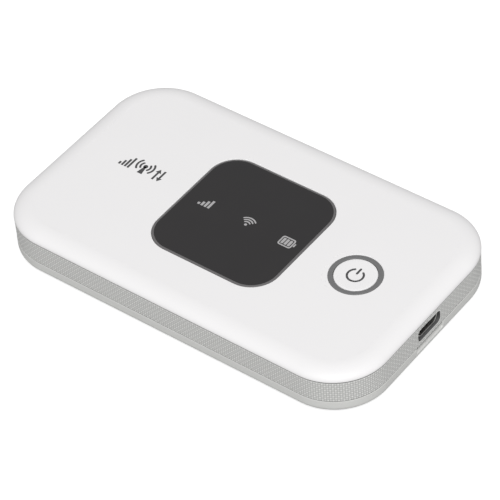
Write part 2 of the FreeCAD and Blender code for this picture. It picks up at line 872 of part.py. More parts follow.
# ---------------------------------------------------------------- band housing
def make_housing():
    """Grey band, the deck across it and the walls of the battery bay, in one moulding."""
    housing = new_body("mid_housing")
    pad_outline(housing, "band", "band_inset", "base_seam", "lid_seam")
    cut_outline(housing, "upper_room", "wall", "deck_top", "lid_seam")
    cut_outline(housing, "lower_room", "wall", "base_seam", "deck_bottom")

    bay_foot = "base_skin + bay_floor_gap"
    bay = sketch_on(housing, "bay", bay_foot)
    draw_rounded(
        bay, "battery_middle", "0", "battery_length + 2 * battery_gap + 2 * bay_wall",
        "battery_width + 2 * battery_gap + 2 * bay_wall", "battery_corner + bay_wall",
    )
    pad(housing, bay, f"deck_bottom - ({bay_foot})")
    bay = sketch_on(housing, "bay_room", bay_foot)
    draw_rounded(
        bay, "battery_middle", "0", "battery_length + 2 * battery_gap",
        "battery_width + 2 * battery_gap", "battery_corner",
    )
    pocket(housing, bay, f"deck_bottom - ({bay_foot})", upward=True)

    window = sketch_on(housing, "connector_window", bay_foot)
    draw_polygon(window, [
        ("battery_east + battery_gap", "-connector_width / 2 - connector_gap"),
        ("connector_west + connector_length + connector_gap", "-connector_width / 2 - connector_gap"),
        ("connector_west + connector_length + connector_gap", "connector_width / 2 + connector_gap"),
        ("battery_east + battery_gap", "connector_width / 2 + connector_gap"),
    ])
    pocket(housing, window, f"deck_top - ({bay_foot})", upward=True)
    window = sketch_on(housing, "sim_window", "deck_bottom")
    draw_polygon(window, [
        ("sim_window_west", "-sim_width / 2 - sim_window_gap"),
        ("sim_west + sim_length + sim_window_gap", "-sim_width / 2 - sim_window_gap"),
        ("sim_west + sim_length + sim_window_gap", "sim_width / 2 + sim_window_gap"),
        ("sim_window_west", "sim_width / 2 + sim_window_gap"),
    ])
    pocket(housing, window, "deck_skin", upward=True)
    window = sketch_on(housing, "usb_window", "deck_bottom")
    draw_polygon(window, [
        ("usb_back - usb_side_room", "-usb_width / 2 - usb_side_room"),
        ("east - wall", "-usb_width / 2 - usb_side_room"),
        ("east - wall", "usb_width / 2 + usb_side_room"),
        ("usb_back - usb_side_room", "usb_width / 2 + usb_side_room"),
    ])
    pocket(housing, window, "deck_skin", upward=True)

    hole = sketch_on(housing, "reset_hole", "deck_bottom")
    draw_circles(hole, [("reset_centre", "reset_y")], "reset_hole")
    pocket(housing, hole, "deck_skin", upward=True)
    holes = sketch_on(housing, "screw_holes", "deck_bottom")
    draw_circles(holes, corners_of("boss_x", "boss_y"), "housing_screw_radius + shank_gap")
    pocket(housing, holes, "deck_skin", upward=True)

    opening = sketch_on(housing, "usb_opening", "east - 2 * wall", role="YZ_Plane")
    draw_rounded(
        opening, "0", "usb_centre", "usb_opening_width", "usb_opening_height",
        "usb_opening_corner",
    )
    pocket(housing, opening, "3 * wall", upward=True)


# ---------------------------------------------------------------- screws
def make_screw(name, x, y, head_bottom, head, head_thick, shank, shank_length):
    """A pan-head screw pointing up, with a cross recess in its head."""
    body = fuse(f"{name}_blank", [
        cylinder(f"{name}_head", x, y, head_bottom, head, head_thick),
        cylinder(f"{name}_shank", x, y, f"{head_bottom} + {head_thick}", shank, shank_length),
    ])
    recess = fuse(f"{name}_recess", [
        centred_box(f"{name}_slot_x", x, y, head_bottom, head, f"{head} / 4", f"{head_thick} / 2"),
        centred_box(f"{name}_slot_y", x, y, head_bottom, f"{head} / 4", head, f"{head_thick} / 2"),
    ])
    return cut(name, body, recess)


def make_screws():
    group("housing_screws", [
        make_screw(
            f"housing_screw_{index}", x, y, "deck_bottom - housing_screw_head_thick",
            "housing_screw_head", "housing_screw_head_thick", "housing_screw_radius",
            "deck_skin + housing_screw_bite",
        )
        for index, (x, y) in enumerate(corners_of("boss_x", "boss_y"))
    ])
    group("board_screws", [
        make_screw(
            f"board_screw_{index}", x, y, "board_bottom - board_screw_head_thick",
            "board_screw_head", "board_screw_head_thick", "board_screw_radius",
            "board_thick + board_screw_bite",
        )
        for index, (x, y) in enumerate(corners_of("post_x", "post_y"))
    ])


# ---------------------------------------------------------------- back cover
def make_back_cover():
    """White tray with a soft lower edge, a snap lip and a notch to pry it off by."""
    blank = soft_slab(
        "base_blank", "0", "base_height", "base_edge_run", "base_edge_rise", edge_down=True,
    )
    cover = new_body("back_cover", blank)
    pad_outline(cover, "lip", "lip_inset", "base_seam", "base_seam + lip_reach")
    cut_outline(cover, "tray", "tray_inset", "base_skin", "base_seam + lip_reach")

    snaps = sketch_on(cover, "snaps", "base_seam + lip_reach / 2 - snap_height / 2")
    face = "north - lip_inset"
    for x in ("-length / 4", "0", "length / 4"):
        for side in ("", "-"):
            draw_rectangle(
                snaps, x, f"{side}({face} - lip_wall / 2 + snap_proud / 2)", "snap_length",
                "lip_wall + snap_proud",
            )
    draw_rectangle(
        snaps, "-(east - lip_inset - lip_wall / 2 + snap_proud / 2)", "0",
        "lip_wall + snap_proud", "snap_length",
    )
    pad(cover, snaps, "snap_height")

    relief = sketch_on(cover, "usb_relief", "base_seam")
    draw_rectangle(
        relief, "east - tray_inset", "0", "2 * (wall + lip_wall)",
        "usb_opening_width + 2 * usb_side_room",
    )
    pocket(cover, relief, "lip_reach", upward=True)
    notch = sketch_on(cover, "pry_notch", "base_seam")
    draw_rectangle(notch, "east", "0", "2 * notch_depth", "notch_width")
    pocket(cover, notch, "notch_height")


# ---------------------------------------------------------------- assembly and export
def check_document():
    """Every object up to date, every cut removes material, every piece a sound shape."""
    for item in doc.Objects:
        faults = {"Invalid", "Error"} & set(item.State)
        if faults:
            raise RuntimeError(f"{item.Name} is {', '.join(sorted(faults))}")
    for result, before in cuts:
        if result.Shape.Volume >= before.Shape.Volume - 1e-6:
            raise RuntimeError(f"{result.Name} removes nothing")
    for piece in nodes:
        if piece.Shape.isNull() or not piece.Shape.isValid():
            raise RuntimeError(f"{piece.Label} has no sound shape")


def export_pieces():
    for piece in nodes:
        piece.Shape.exportStep(f"parts/{piece.Label}.step")
        print(f"{piece.Label:24s} {len(piece.Shape.Solids):3d} solids {piece.Shape.Volume:9.2f} mm3")


make_top_cover()
make_window()
make_icon_lights()
make_power_button()
make_board()
make_board_parts()
make_usb()
make_sim_socket()
make_reset_switch()
make_battery()
make_antennas()
make_housing()
make_screws()
make_back_cover()
doc.recompute()
check_document()
export_pieces()
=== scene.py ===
import math

import bmesh
import bpy
from mathutils import Matrix, Vector


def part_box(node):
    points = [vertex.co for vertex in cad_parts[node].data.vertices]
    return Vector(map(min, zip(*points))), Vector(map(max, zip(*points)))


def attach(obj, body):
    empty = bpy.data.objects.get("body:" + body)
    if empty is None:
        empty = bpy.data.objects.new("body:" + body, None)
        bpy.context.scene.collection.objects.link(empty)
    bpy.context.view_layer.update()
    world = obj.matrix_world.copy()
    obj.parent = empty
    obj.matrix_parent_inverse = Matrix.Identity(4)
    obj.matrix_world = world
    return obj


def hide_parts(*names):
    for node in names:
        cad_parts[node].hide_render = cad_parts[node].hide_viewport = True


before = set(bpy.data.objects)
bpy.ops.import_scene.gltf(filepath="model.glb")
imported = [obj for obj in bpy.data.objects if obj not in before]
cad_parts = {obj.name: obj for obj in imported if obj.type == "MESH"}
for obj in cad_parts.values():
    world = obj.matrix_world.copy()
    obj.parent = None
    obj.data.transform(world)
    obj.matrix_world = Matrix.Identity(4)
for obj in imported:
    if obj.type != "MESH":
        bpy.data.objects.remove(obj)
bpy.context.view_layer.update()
MM = 0.001


# ------------------------------------------------------------ camera
# A long lens, 64 cm away, looks down from just under 45 degrees on the corner between the
# near side and the USB end, and leans a little to its left.
AZIMUTH, ELEVATION, LEAN = math.radians(40.18), math.radians(44.37), math.radians(-4.91)
DISTANCE = 0.6369
AIM = Vector((0.13, 1.13, 2.3)) * MM

camera_data = bpy.data.cameras.new("camera")
camera_data.lens = 204.9
camera = bpy.data.objects.new("camera", camera_data)
bpy.context.collection.objects.link(camera)
away = Vector((
    math.sin(AZIMUTH) * math.cos(ELEVATION),
    -math.cos(AZIMUTH) * math.cos(ELEVATION),
    math.sin(ELEVATION),
))
camera.matrix_world = (
    Matrix.Translation(AIM + DISTANCE * away)
    @ away.to_track_quat("Z", "Y").to_matrix().to_4x4()
    @ Matrix.Rotation(LEAN, 4, "Z")
)
bpy.context.scene.camera = camera
bpy.context.scene.view_settings.view_transform = "Standard"


# ------------------------------------------------------------ light
# A white tent gives even light from all sides. One wide soft lamp stands above the near
# corner, so the band is lightest where it turns round that corner.
TENT_STRENGTH = 0.42
LAMP_POWER, LAMP_SIZE, LAMP_DISTANCE = 31.0, 1.0, 2.0
LAMP_AZIMUTH, LAMP_ELEVATION = math.radians(41), math.radians(55)

world = bpy.data.worlds.new("tent")
world.use_nodes = True
world.node_tree.nodes["Background"].inputs["Color"].default_value = (1.0, 1.0, 1.0, 1.0)
world.node_tree.nodes["Background"].inputs["Strength"].default_value = TENT_STRENGTH
bpy.context.scene.world = world
lamp_data = bpy.data.lights.new("soft_lamp", "AREA")
lamp_data.size = LAMP_SIZE
lamp_data.energy = LAMP_POWER
lamp = bpy.data.objects.new("soft_lamp", lamp_data)
lamp.location = LAMP_DISTANCE * Vector((
    math.sin(LAMP_AZIMUTH) * math.cos(LAMP_ELEVATION),
    -math.cos(LAMP_AZIMUTH) * math.cos(LAMP_ELEVATION),
    math.sin(LAMP_ELEVATION),
))
lamp.rotation_euler = lamp.location.to_track_quat("Z", "Y").to_euler()
bpy.context.collection.objects.link(lamp)


# ------------------------------------------------------------ floor
# White paper, large enough to fill every view. It throws back half the light that falls on
# it, and the glow that whitens it is for the camera alone. The two small classes that every
# finish is written with come first: a socket, and a material.
class Wire:
    """A socket of a material that Python's operators can reckon with."""

    def __init__(self, finish, socket):
        self.finish = finish
        self.socket = socket

    def reckon(self, operation, one, other):
        return self.finish.add("ShaderNodeMath", {"operation": operation}, {0: one, 1: other})

    def __add__(self, other):
        return self.reckon("ADD", self, other)

    def __sub__(self, other):
        return self.reckon("SUBTRACT", self, other)

    def __rsub__(self, other):
        return self.reckon("SUBTRACT", other, self)

    def __mul__(self, other):
        return self.reckon("MULTIPLY", self, other)

    def __truediv__(self, other):
        return self.reckon("DIVIDE", self, other)

    def __gt__(self, other):
        return self.reckon("GREATER_THAN", self, other)

    def __lt__(self, other):
        return self.reckon("LESS_THAN", self, other)

    def __mod__(self, other):
        return self.reckon("FLOORED_MODULO", self, other)

    def __abs__(self):
        return self.reckon("ABSOLUTE", self, 0.0)

    def at_least(self, other):
        return self.reckon("MAXIMUM", self, other)

    __radd__ = __add__
    __rmul__ = __mul__


class Finish:
    """A material: one Principled shader and whatever feeds it."""

    def __init__(self, name, **shader):
        self.material = bpy.data.materials.new(name)
        self.material.use_nodes = True
        self.tree = self.material.node_tree
        self.shader = self.tree.nodes["Principled BSDF"]
        self.set(**shader)

    def feed(self, node, socket, given):
        if isinstance(given, Wire):
            self.tree.links.new(given.socket, node.inputs[socket])
        elif node.inputs[socket].type == "RGBA":
            node.inputs[socket].default_value = (*given, 1.0)
        else:
            node.inputs[socket].default_value = given

    def add(self, kind, settings=None, inputs=None, output=0):
        """One node: its settings first, then the values or links of its sockets."""
        node = self.tree.nodes.new(kind)
        for setting, given in (settings or {}).items():
            setattr(node, setting, given)
        for socket, given in (inputs or {}).items():
            self.feed(node, socket, given)
        return Wire(self, node.outputs[output])

    def set(self, **shader):
        for socket, given in shader.items():
            self.feed(self.shader, socket.replace("_", " "), given)
        return self

    def place(self):
        """The point on the piece, in metres."""
        return self.add("ShaderNodeTexCoord", output="Object")

    def axes(self):
        """The three coordinates of that point, in millimetres."""
        split = self.add("ShaderNodeSeparateXYZ", {}, {0: self.place()}).socket.node
        return [Wire(self, output) / MM for output in split.outputs]

    def noise(self, grain_mm, detail=3.0, stretch=(1.0, 1.0, 1.0)):
        """Soft noise from 0 to 1 in patches of about grain_mm, longer where stretch is more."""
        along = self.add(
            "ShaderNodeVectorMath", {"operation": "DIVIDE"}, {0: self.place(), 1: stretch},
        )
        return self.add(
            "ShaderNodeTexNoise", {},
            {"Vector": along, "Scale": 1 / (grain_mm * MM), "Detail": detail},
        )

    def mix(self, mask, one, other):
        """Colour one where the mask is 0, the other where it is 1."""
        return self.add(
            "ShaderNodeMix", {"data_type": "RGBA"}, {0: mask, 6: one, 7: other}, output=2,
        )

    def bump(self, height, depth_mm, strength=1.0):
        return self.add(
            "ShaderNodeBump", {},
            {"Strength": strength, "Distance": depth_mm * MM, "Height": height},
        )


FLOOR_SIDE = 6.0
PAPER_GLOW, PAPER_LEVEL = 0.68, -0.02
paper = Finish(
    "studio_paper", Roughness=0.9, Specular_IOR_Level=0.2, Emission_Strength=PAPER_GLOW,
)
seen = paper.add("ShaderNodeLightPath", output="Is Camera Ray")
paper.set(
    Base_Color=paper.mix(paper.noise(6), (0.5, 0.5, 0.5), (0.52, 0.52, 0.52)),
    Emission_Color=paper.mix(seen, (0.0, 0.0, 0.0), (1.0, 1.0, 1.0)),
)
floor_data = bpy.data.meshes.new("floor")
floor_data.from_pydata(
    [
        (x * FLOOR_SIDE / 2, y * FLOOR_SIDE / 2, PAPER_LEVEL * MM)
        for x, y in ((-1, -1), (1, -1), (1, 1), (-1, 1))
    ],
    [], [(0, 1, 2, 3)],
)
floor = bpy.data.objects.new("floor", floor_data)
floor_data.materials.append(paper.material)
bpy.context.collection.objects.link(floor)


# ------------------------------------------------------------ back cover
# A white moulded tray that the hotspot lies on: a soft lower edge, a lip with snaps that
# holds it in the band, a relief in the lip under the USB socket and a nail notch.
class Skin:
    """A mesh made of closed loops of points, with strips between them or flat faces in them."""

    def __init__(self):
        self.mesh = bmesh.new()

    def loop(self, points):
        return [self.mesh.verts.new(Vector(point) * MM) for point in points]

    def strip(self, one, other, closed=True):
        count = len(one)
        for here in range(count if closed else count - 1):
            there = (here + 1) % count
            self.mesh.faces.new((one[here], one[there], other[there], other[here]))

    def strips(self, rows):
        """A loop through every row of points and a strip between each two."""
        loops = [self.loop(row) for row in rows]
        for one, other in zip(loops, loops[1:]):
            self.strip(one, other)
        return loops[0], loops[-1]

    def fill(self, *loops):
        """A flat face inside the first loop and outside the others."""
        edges = []
        for loop in loops:
            for one, other in zip(loop, loop[1:] + loop[:1]):
                known = self.mesh.edges.get((one, other))
                edges.append(known or self.mesh.edges.new((one, other)))
        bmesh.ops.triangle_fill(self.mesh, edges=edges, use_beauty=True)

    def block(self, rows):
        """Strips through the rows, closed with a flat face at both ends."""
        first, last = self.strips(rows)
        self.fill(first)
        self.fill(last)

    def make(self, name, body, slot, finish, crease=35, even=True):
        """Turn the mesh into a piece that rides on a body."""
        bmesh.ops.recalc_face_normals(self.mesh, faces=self.mesh.faces)
        data = bpy.data.meshes.new(name)
        self.mesh.to_mesh(data)
        self.mesh.free()
        data.shade_smooth()
        data.set_sharp_from_angle(angle=math.radians(crease))
        data.materials.append(finish.material)
        piece = bpy.data.objects.new(name, data)
        bpy.context.collection.objects.link(piece)
        if even:
            piece.modifiers.new("even_normals", "WEIGHTED_NORMAL").keep_sharp = True
        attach(piece, body)
        return piece


def box_mm(node):
    """A CAD node's lowest and highest corners in millimetres."""
    low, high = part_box(node)
    return Vector(low) / MM, Vector(high) / MM


def rounded(half_run, half_across, corner, level, middle=(0.0, 0.0), steps=8, stops=((),) * 4):
    """A level loop with round corners, with stops on its north, west, south and east sides."""
    points = []
    for turn, (east, north) in enumerate(((1, 1), (-1, 1), (-1, -1), (1, -1))):
        for step in range(steps + 1):
            angle = math.radians(90 * (turn + step / steps))
            points.append((
                middle[0] + east * (half_run - corner) + corner * math.cos(angle),
                middle[1] + north * (half_across - corner) + corner * math.sin(angle),
                level,
            ))
        for stop in sorted(stops[turn], reverse=turn < 2):
            if turn % 2 == 0:
                points.append((stop, middle[1] + north * half_across, level))
            else:
                points.append((middle[0] + east * half_run, stop, level))
    return points


def quarter(run, rise, steps):
    """Steps round an edge, from its flat to its side: how far in, and how far off the flat."""
    swings = [math.pi / 2 * step / steps for step in range(steps + 1)]
    return [(run * (1 - math.sin(swing)), rise * (1 - math.cos(swing))) for swing in swings]


def moulded(name, light, dark, gloss, grain_mm=0.16, depth_mm=0.004, cloud_mm=14, shine=0.45):
    """Moulded plastic: colour and gloss that cloud a little over a fine eroded grain."""
    plastic = Finish(name, Specular_IOR_Level=shine)
    cloud = plastic.noise(cloud_mm)
    return plastic.set(
        Base_Color=plastic.mix(cloud, dark, light),
        Roughness=gloss + 0.08 * (cloud - 0.5),
        Normal=plastic.bump(plastic.noise(grain_mm, detail=2.0), depth_mm, 0.6),
    )


CORNER = 13.4
PLAN_STEPS = 36
base_high = box_mm("back_cover")[1]
HALF_RUN, HALF_ACROSS = base_high.x, base_high.y
BASE_SEAM = 4.0
BASE_EDGE_RUN, BASE_EDGE_RISE = 4.0, 2.2
EDGE_STEPS = 10
SEAM_ROUND = 0.12
LIP_OUTER, LIP_INNER, LIP_ROUND = 1.65, 2.55, 0.12
LIP_RELIEF = 9.64
TRAY_FLOOR, TRAY_ROUND = 1.2, 0.5
SNAP_LENGTH, SNAP_RAMP, SNAP_HEIGHT, SNAP_PROUD = 6.0, 0.3, 0.5, 0.1
SNAP_PLACES = (-HALF_RUN / 2, 0.0, HALF_RUN / 2)
NOTCH_WIDTH, NOTCH_DEPTH, NOTCH_HEIGHT, NOTCH_BLEND = 10.0, 1.1, 1.5, 0.35
NOTCH_FOOT = BASE_SEAM - NOTCH_HEIGHT
NOTCH_STEP, NOTCH_MARGIN = 0.17, 0.5
ROW_SLACK = 0.1
RELIEF_LEFT = 0.02


def snap_stops(places):
    reach = SNAP_LENGTH / 2
    return [
        place + side for place in places
        for side in (-reach, SNAP_RAMP - reach, reach - SNAP_RAMP, reach)
    ]


notch_reach = math.ceil((NOTCH_WIDTH / 2 + NOTCH_MARGIN) / NOTCH_STEP)
long_stops = snap_stops(SNAP_PLACES)
end_stops = [NOTCH_STEP * step for step in range(-notch_reach, notch_reach + 1)]
BASE_STOPS = (long_stops, snap_stops([0.0]), long_stops, end_stops)


def ease(low, high, here):
    """0 below low, 1 above high and a smooth rise between."""
    share = min(max((here - low) / (high - low), 0.0), 1.0)
    return share * share * (3 - 2 * share)


def base_point(point, snap):
    """Press the nail notch and the lip relief into the plain outline, and raise the snaps."""
    x, y, z = point
    if x > HALF_RUN - LIP_INNER - ROW_SLACK:
        if z > BASE_SEAM and abs(y) < LIP_RELIEF / 2:
            z = BASE_SEAM + RELIEF_LEFT * (z - BASE_SEAM)
        if x > HALF_RUN - LIP_OUTER + ROW_SLACK:
            beside = ease(NOTCH_WIDTH / 2 - NOTCH_BLEND, NOTCH_WIDTH / 2, abs(y))
            above = ease(NOTCH_FOOT, NOTCH_FOOT + NOTCH_BLEND, z)
            x = min(x, HALF_RUN - NOTCH_DEPTH * (1 - beside) * above)
    if snap:
        flat = SNAP_LENGTH / 2 - SNAP_RAMP / 2
        if abs(y) > HALF_ACROSS - LIP_INNER and min(abs(x - at) for at in SNAP_PLACES) < flat:
            y = math.copysign(abs(y) + SNAP_PROUD, y)
        elif x < LIP_INNER - HALF_RUN and abs(y) < flat:
            x -= SNAP_PROUD
    return x, y, z


base_rows = [
    (inset, level, False) for inset, level in quarter(BASE_EDGE_RUN, BASE_EDGE_RISE, EDGE_STEPS)
]
base_rows += [(0.0, NOTCH_FOOT + NOTCH_BLEND * step / 5, False) for step in range(6)]
lip_middle = (BASE_SEAM + base_high.z) / 2
base_rows += [
    (0.0, BASE_SEAM - SEAM_ROUND, False),
    (0.3 * SEAM_ROUND, BASE_SEAM - 0.3 * SEAM_ROUND, False),
    (SEAM_ROUND, BASE_SEAM, False),
    (LIP_OUTER, BASE_SEAM, False),
    (LIP_OUTER, lip_middle - SNAP_HEIGHT / 2, False),
    (LIP_OUTER, lip_middle - SNAP_HEIGHT / 4, True),
    (LIP_OUTER, lip_middle + SNAP_HEIGHT / 4, True),
    (LIP_OUTER, lip_middle + SNAP_HEIGHT / 2, False),
    (LIP_OUTER, base_high.z - LIP_ROUND, False),
    (LIP_OUTER + LIP_ROUND, base_high.z, False),
    (LIP_INNER - LIP_ROUND, base_high.z, False),
    (LIP_INNER, base_high.z - LIP_ROUND, False),
    (LIP_INNER, TRAY_FLOOR + TRAY_ROUND, False),
    (LIP_INNER + 0.3 * TRAY_ROUND, TRAY_FLOOR + 0.3 * TRAY_ROUND, False),
    (LIP_INNER + TRAY_ROUND, TRAY_FLOOR, False),
]


def plan(inset, level, stops=((),) * 4):
    """The hotspot's outline in plan, drawn in by an inset."""
    return rounded(
        HALF_RUN - inset, HALF_ACROSS - inset, CORNER - inset, level, steps=PLAN_STEPS,
        stops=stops,
    )


tray = Skin()
tray.block([
    [base_point(point, snap) for point in plan(inset, level, BASE_STOPS)]
    for inset, level, snap in base_rows
])
base_white = moulded("base_white", (0.66, 0.662, 0.645), (0.64, 0.642, 0.625), 0.42, shine=0.28)
back_cover = tray.make("back_cover_shell", "back_cover", "white_shell", base_white)
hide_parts("back_cover")


# ------------------------------------------------------------ band housing
# The grey moulded frame between the covers, with the deck and the battery bay inside it.
# Its outer wall is set in by the thickness of the woven band. Its colour holds painted shade:
# near black at the two seams and on the walls of the USB opening.
def dress(node, finish):
    """Give a CAD node its finish."""
    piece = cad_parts[node]
    for slot in piece.material_slots:
        slot.material = finish.material


LID_LINE, BASE_LINE = 0.28, 0.12
LID_SEAM = 9.9
WALL_SKIN = 0.2
PORT_SHADE_DEPTH, PORT_SHADE_HALF_WIDTH = 1.45, 4.6
housing_grey = Finish("housing_grey", Specular_IOR_Level=0.4)
grey_cloud = housing_grey.noise(9)
over_x, over_y, over_z = housing_grey.axes()
from_side = (abs(over_x) - (HALF_RUN - CORNER)).at_least(0.0)
from_end = (abs(over_y) - (HALF_ACROSS - CORNER)).at_least(0.0)
outside = from_side * from_side + from_end * from_end > (CORNER - WALL_SKIN) ** 2
# Painted shade: the outer wall goes near black at both seams, and so do the USB opening's walls.
port_shade = (over_x > HALF_RUN - PORT_SHADE_DEPTH) * (abs(over_y) < PORT_SHADE_HALF_WIDTH)
seam_shade = (over_z > LID_SEAM - LID_LINE) + (over_z < BASE_SEAM + BASE_LINE)
housing_grey.set(
    Base_Color=housing_grey.mix(
        outside * seam_shade + port_shade,
        housing_grey.mix(grey_cloud, (0.4, 0.4, 0.39), (0.44, 0.44, 0.43)),
        (0.1, 0.1, 0.1),
    ),
    Roughness=0.48 + 0.08 * grey_cloud,
    Normal=housing_grey.bump(housing_grey.noise(0.2, detail=2.0), 0.005, 0.6),
)
dress("mid_housing", housing_grey)


# ------------------------------------------------------------ woven band
# A grey woven strip bonded round the housing, flush with both covers: square pillows of
# thread 0.6 mm apart, pressed smooth and cut clean round the USB opening.
THREAD = 0.58
THREAD_SAMPLES = 4
UNDER_THREAD = 0.35
RELIEF = 0.1
WEAVE_PROUD = 0.02
STRIP_INSET = 0.15
PORT_HALF_WIDTH, PORT_HALF_HEIGHT, PORT_CORNER = 4.22, 1.72, 1.2
PORT_SMOOTH, PORT_HEM, PRESSED = 0.3, 0.1, 0.8
PORT_COLUMNS = 44
STRIP_MARGIN = 0.4
SLOPE_STEP = 0.001
usb_low, usb_high = box_mm("usb_shell")
port_level = (usb_low.z + usb_high.z) / 2


def round_the_band(distance):
    """A point on the outline and its outward direction, by the way round from the USB end."""
    end, side = 2 * (HALF_ACROSS - CORNER), 2 * (HALF_RUN - CORNER)
    bend = CORNER * math.pi / 2
    here = Vector((HALF_RUN, 0.0))
    for turn, leg in enumerate((end / 2, side, end, side, end / 2)):
        outward = Vector((math.cos(turn * math.pi / 2), math.sin(turn * math.pi / 2)))
        ahead = Vector((-outward.y, outward.x))
        if distance <= leg:
            return here + ahead * distance, outward
        distance -= leg
        centre = here + ahead * leg - outward * CORNER
        if distance <= bend:
            angle = turn * math.pi / 2 + distance / CORNER
            outward = Vector((math.cos(angle), math.sin(angle)))
            return centre + outward * CORNER, outward
        distance -= bend
        here = centre + ahead * CORNER


def beyond_port(y, z):
    """How far a point of the band's end lies outside the USB opening's rounded outline."""
    over_width = abs(y) - (PORT_HALF_WIDTH - PORT_CORNER)
    over_height = abs(z - port_level) - (PORT_HALF_HEIGHT - PORT_CORNER)
    corner = math.hypot(max(over_width, 0.0), max(over_height, 0.0))
    return corner + min(max(over_width, over_height), 0.0) - PORT_CORNER


way_round = 4 * (HALF_RUN + HALF_ACROSS - 2 * CORNER) + 2 * math.pi * CORNER
columns = THREAD_SAMPLES * round(way_round / THREAD)
strip_low, strip_high = BASE_SEAM + BASE_LINE, LID_SEAM - LID_LINE
rows = THREAD_SAMPLES * round((strip_high - strip_low) / THREAD)
band = Skin()
spots = [round_the_band(way_round * column / columns) for column in range(columns)]
crown = band.mesh.verts.layers.float.new("thread_crown")
grid = []
for row in range(rows + 1):
    z = strip_low + (strip_high - strip_low) * row / rows
    points = []
    for column, (spot, outward) in enumerate(spots):
        pillow = abs(
            math.sin(math.pi * column / THREAD_SAMPLES) * math.sin(math.pi * row / THREAD_SAMPLES)
        )
        over = (column // THREAD_SAMPLES + row // THREAD_SAMPLES) % 2
        lift = pillow ** 0.6 * (1.0 - UNDER_THREAD * over)
        if spot.x == HALF_RUN and 0 < row < rows:
            press = ease(0.0, PORT_SMOOTH, beyond_port(spot.y, z) - PORT_HEM)
            lift = lift * press + PRESSED * (1 - press)
        depth = WEAVE_PROUD + RELIEF * (1 - lift)
        points.append((*(spot - outward * depth), z, lift))
    grid.append(band.loop([point[:3] for point in points]))
    for vert, point in zip(grid[-1], points):
        vert[crown] = point[3]
for one, other in zip(grid, grid[1:]):
    band.strip(one, other)
cut_out = [
    face for face in band.mesh.faces
    if face.calc_center_median().x > (HALF_RUN - 0.5) * MM
    and beyond_port(face.calc_center_median().y / MM, face.calc_center_median().z / MM) < 0
]
bmesh.ops.delete(band.mesh, geom=cut_out, context="FACES")
port_edge = next(
    edge for edge in band.mesh.edges if edge.is_boundary
    and strip_low + STRIP_MARGIN < edge.verts[0].co.z / MM < strip_high - STRIP_MARGIN
)
rim = [port_edge.verts[0], port_edge.verts[1]]
while rim[-1] != rim[0]:
    ahead = [
        edge.other_vert(rim[-1]) for edge in rim[-1].link_edges
        if edge.is_boundary and edge.other_vert(rim[-1]) != rim[-2]
    ]
    rim.append(ahead[0])
rim.pop()
for vert in rim:
    y, z = vert.co.y / MM, vert.co.z / MM
    gap = beyond_port(y, z)
    slope = Vector((
        beyond_port(y + SLOPE_STEP, z) - beyond_port(y - SLOPE_STEP, z),
        beyond_port(y, z + SLOPE_STEP) - beyond_port(y, z - SLOPE_STEP),
    )).normalized()
    vert.co.y -= gap * slope.x * MM
    vert.co.z -= gap * slope.y * MM
inner_x = HALF_RUN - STRIP_INSET
inner_rim = band.loop([(inner_x, vert.co.y / MM, vert.co.z / MM) for vert in rim])
band.strip(rim, inner_rim)
inner_low = band.loop([(*(spot - outward * STRIP_INSET), strip_low) for spot, outward in spots])
inner_high = band.loop([(*(spot - outward * STRIP_INSET), strip_high) for spot, outward in spots])
band.strip(grid[0], inner_low)
band.strip(grid[-1], inner_high)
band.strip(
    inner_low[PORT_COLUMNS:-PORT_COLUMNS], inner_high[PORT_COLUMNS:-PORT_COLUMNS], closed=False,
)
near_low = inner_low[-PORT_COLUMNS - 1:] + inner_low[:PORT_COLUMNS + 1]
near_high = inner_high[-PORT_COLUMNS - 1:] + inner_high[:PORT_COLUMNS + 1]
band.fill(near_low + near_high[::-1], inner_rim)

woven = Finish("woven_grey", Specular_IOR_Level=0.35, Sheen_Weight=0.1)
fibre = woven.noise(0.12, detail=2.0)
raised = woven.add("ShaderNodeAttribute", {"attribute_name": "thread_crown"}, output="Fac")
woven.set(
    Base_Color=woven.mix(
        raised, (0.44, 0.441, 0.43),
        woven.mix(fibre, (0.74, 0.742, 0.724), (0.85, 0.852, 0.834)),
    ),
    Roughness=0.5 + 0.15 * fibre,
    Normal=woven.bump(fibre, 0.01, 0.5),
)
band.make("woven_band", "housing", "grey_band", woven, crease=80, even=False)


# ------------------------------------------------------------ battery
# A flat lithium pack in a heat-shrunk printed film, with a black end cap that carries three
# gold pads. It lies loose in the bay and lifts out when the back cover is off.
PACK_CORNER, PACK_ROUND, PACK_CROWN = 2.0, 0.7, 0.12
SWELL_RUN = 12
LABEL_HALF_LENGTH, LABEL_HALF_WIDTH, LABEL_LINE, LABEL_LEVEL = 22.0, 16.0, 0.5, 2.2
STRIPE_LOW, STRIPE_HIGH, STRIPE_HALF_LENGTH = 9.0, 12.5, 19.0
FILM_SEAM, FILM_SEAM_HALF_WIDTH, FILM_SEAM_LEVEL = -4.0, 0.25, 5.5
pack_low, pack_high = box_mm("battery_cell")
pack_half = ((pack_high.x - pack_low.x) / 2, (pack_high.y - pack_low.y) / 2)
pack_middle = ((pack_high.x + pack_low.x) / 2, (pack_high.y + pack_low.y) / 2)
pack_side = [
    (inset, pack_low.z + PACK_CROWN + rise) for inset, rise in quarter(PACK_ROUND, PACK_ROUND, 4)
]
pack_side += [(inset, pack_low.z + pack_high.z - level) for inset, level in pack_side[::-1]]
swell = [
    (PACK_ROUND + share * SWELL_RUN, PACK_CROWN * math.cos(math.pi / 2 * share))
    for share in (0.25, 0.5, 0.75, 1.0)
]
pack_side = (
    [(inset, pack_low.z + fall) for inset, fall in swell[::-1]] + pack_side
    + [(inset, pack_high.z - fall) for inset, fall in swell]
)
pack = Skin()
pack.block([
    rounded(
        pack_half[0] - inset, pack_half[1] - inset, max(PACK_CORNER - inset, 0.4), level,
        pack_middle, 6,
    )
    for inset, level in pack_side
])
film = Finish("battery_film", Coat_Weight=0.35, Coat_Roughness=0.12, Specular_IOR_Level=0.4)
crinkle = film.noise(2.2, detail=4.0, stretch=(1.0, 2.5, 1.0))
along, across, up = film.axes()
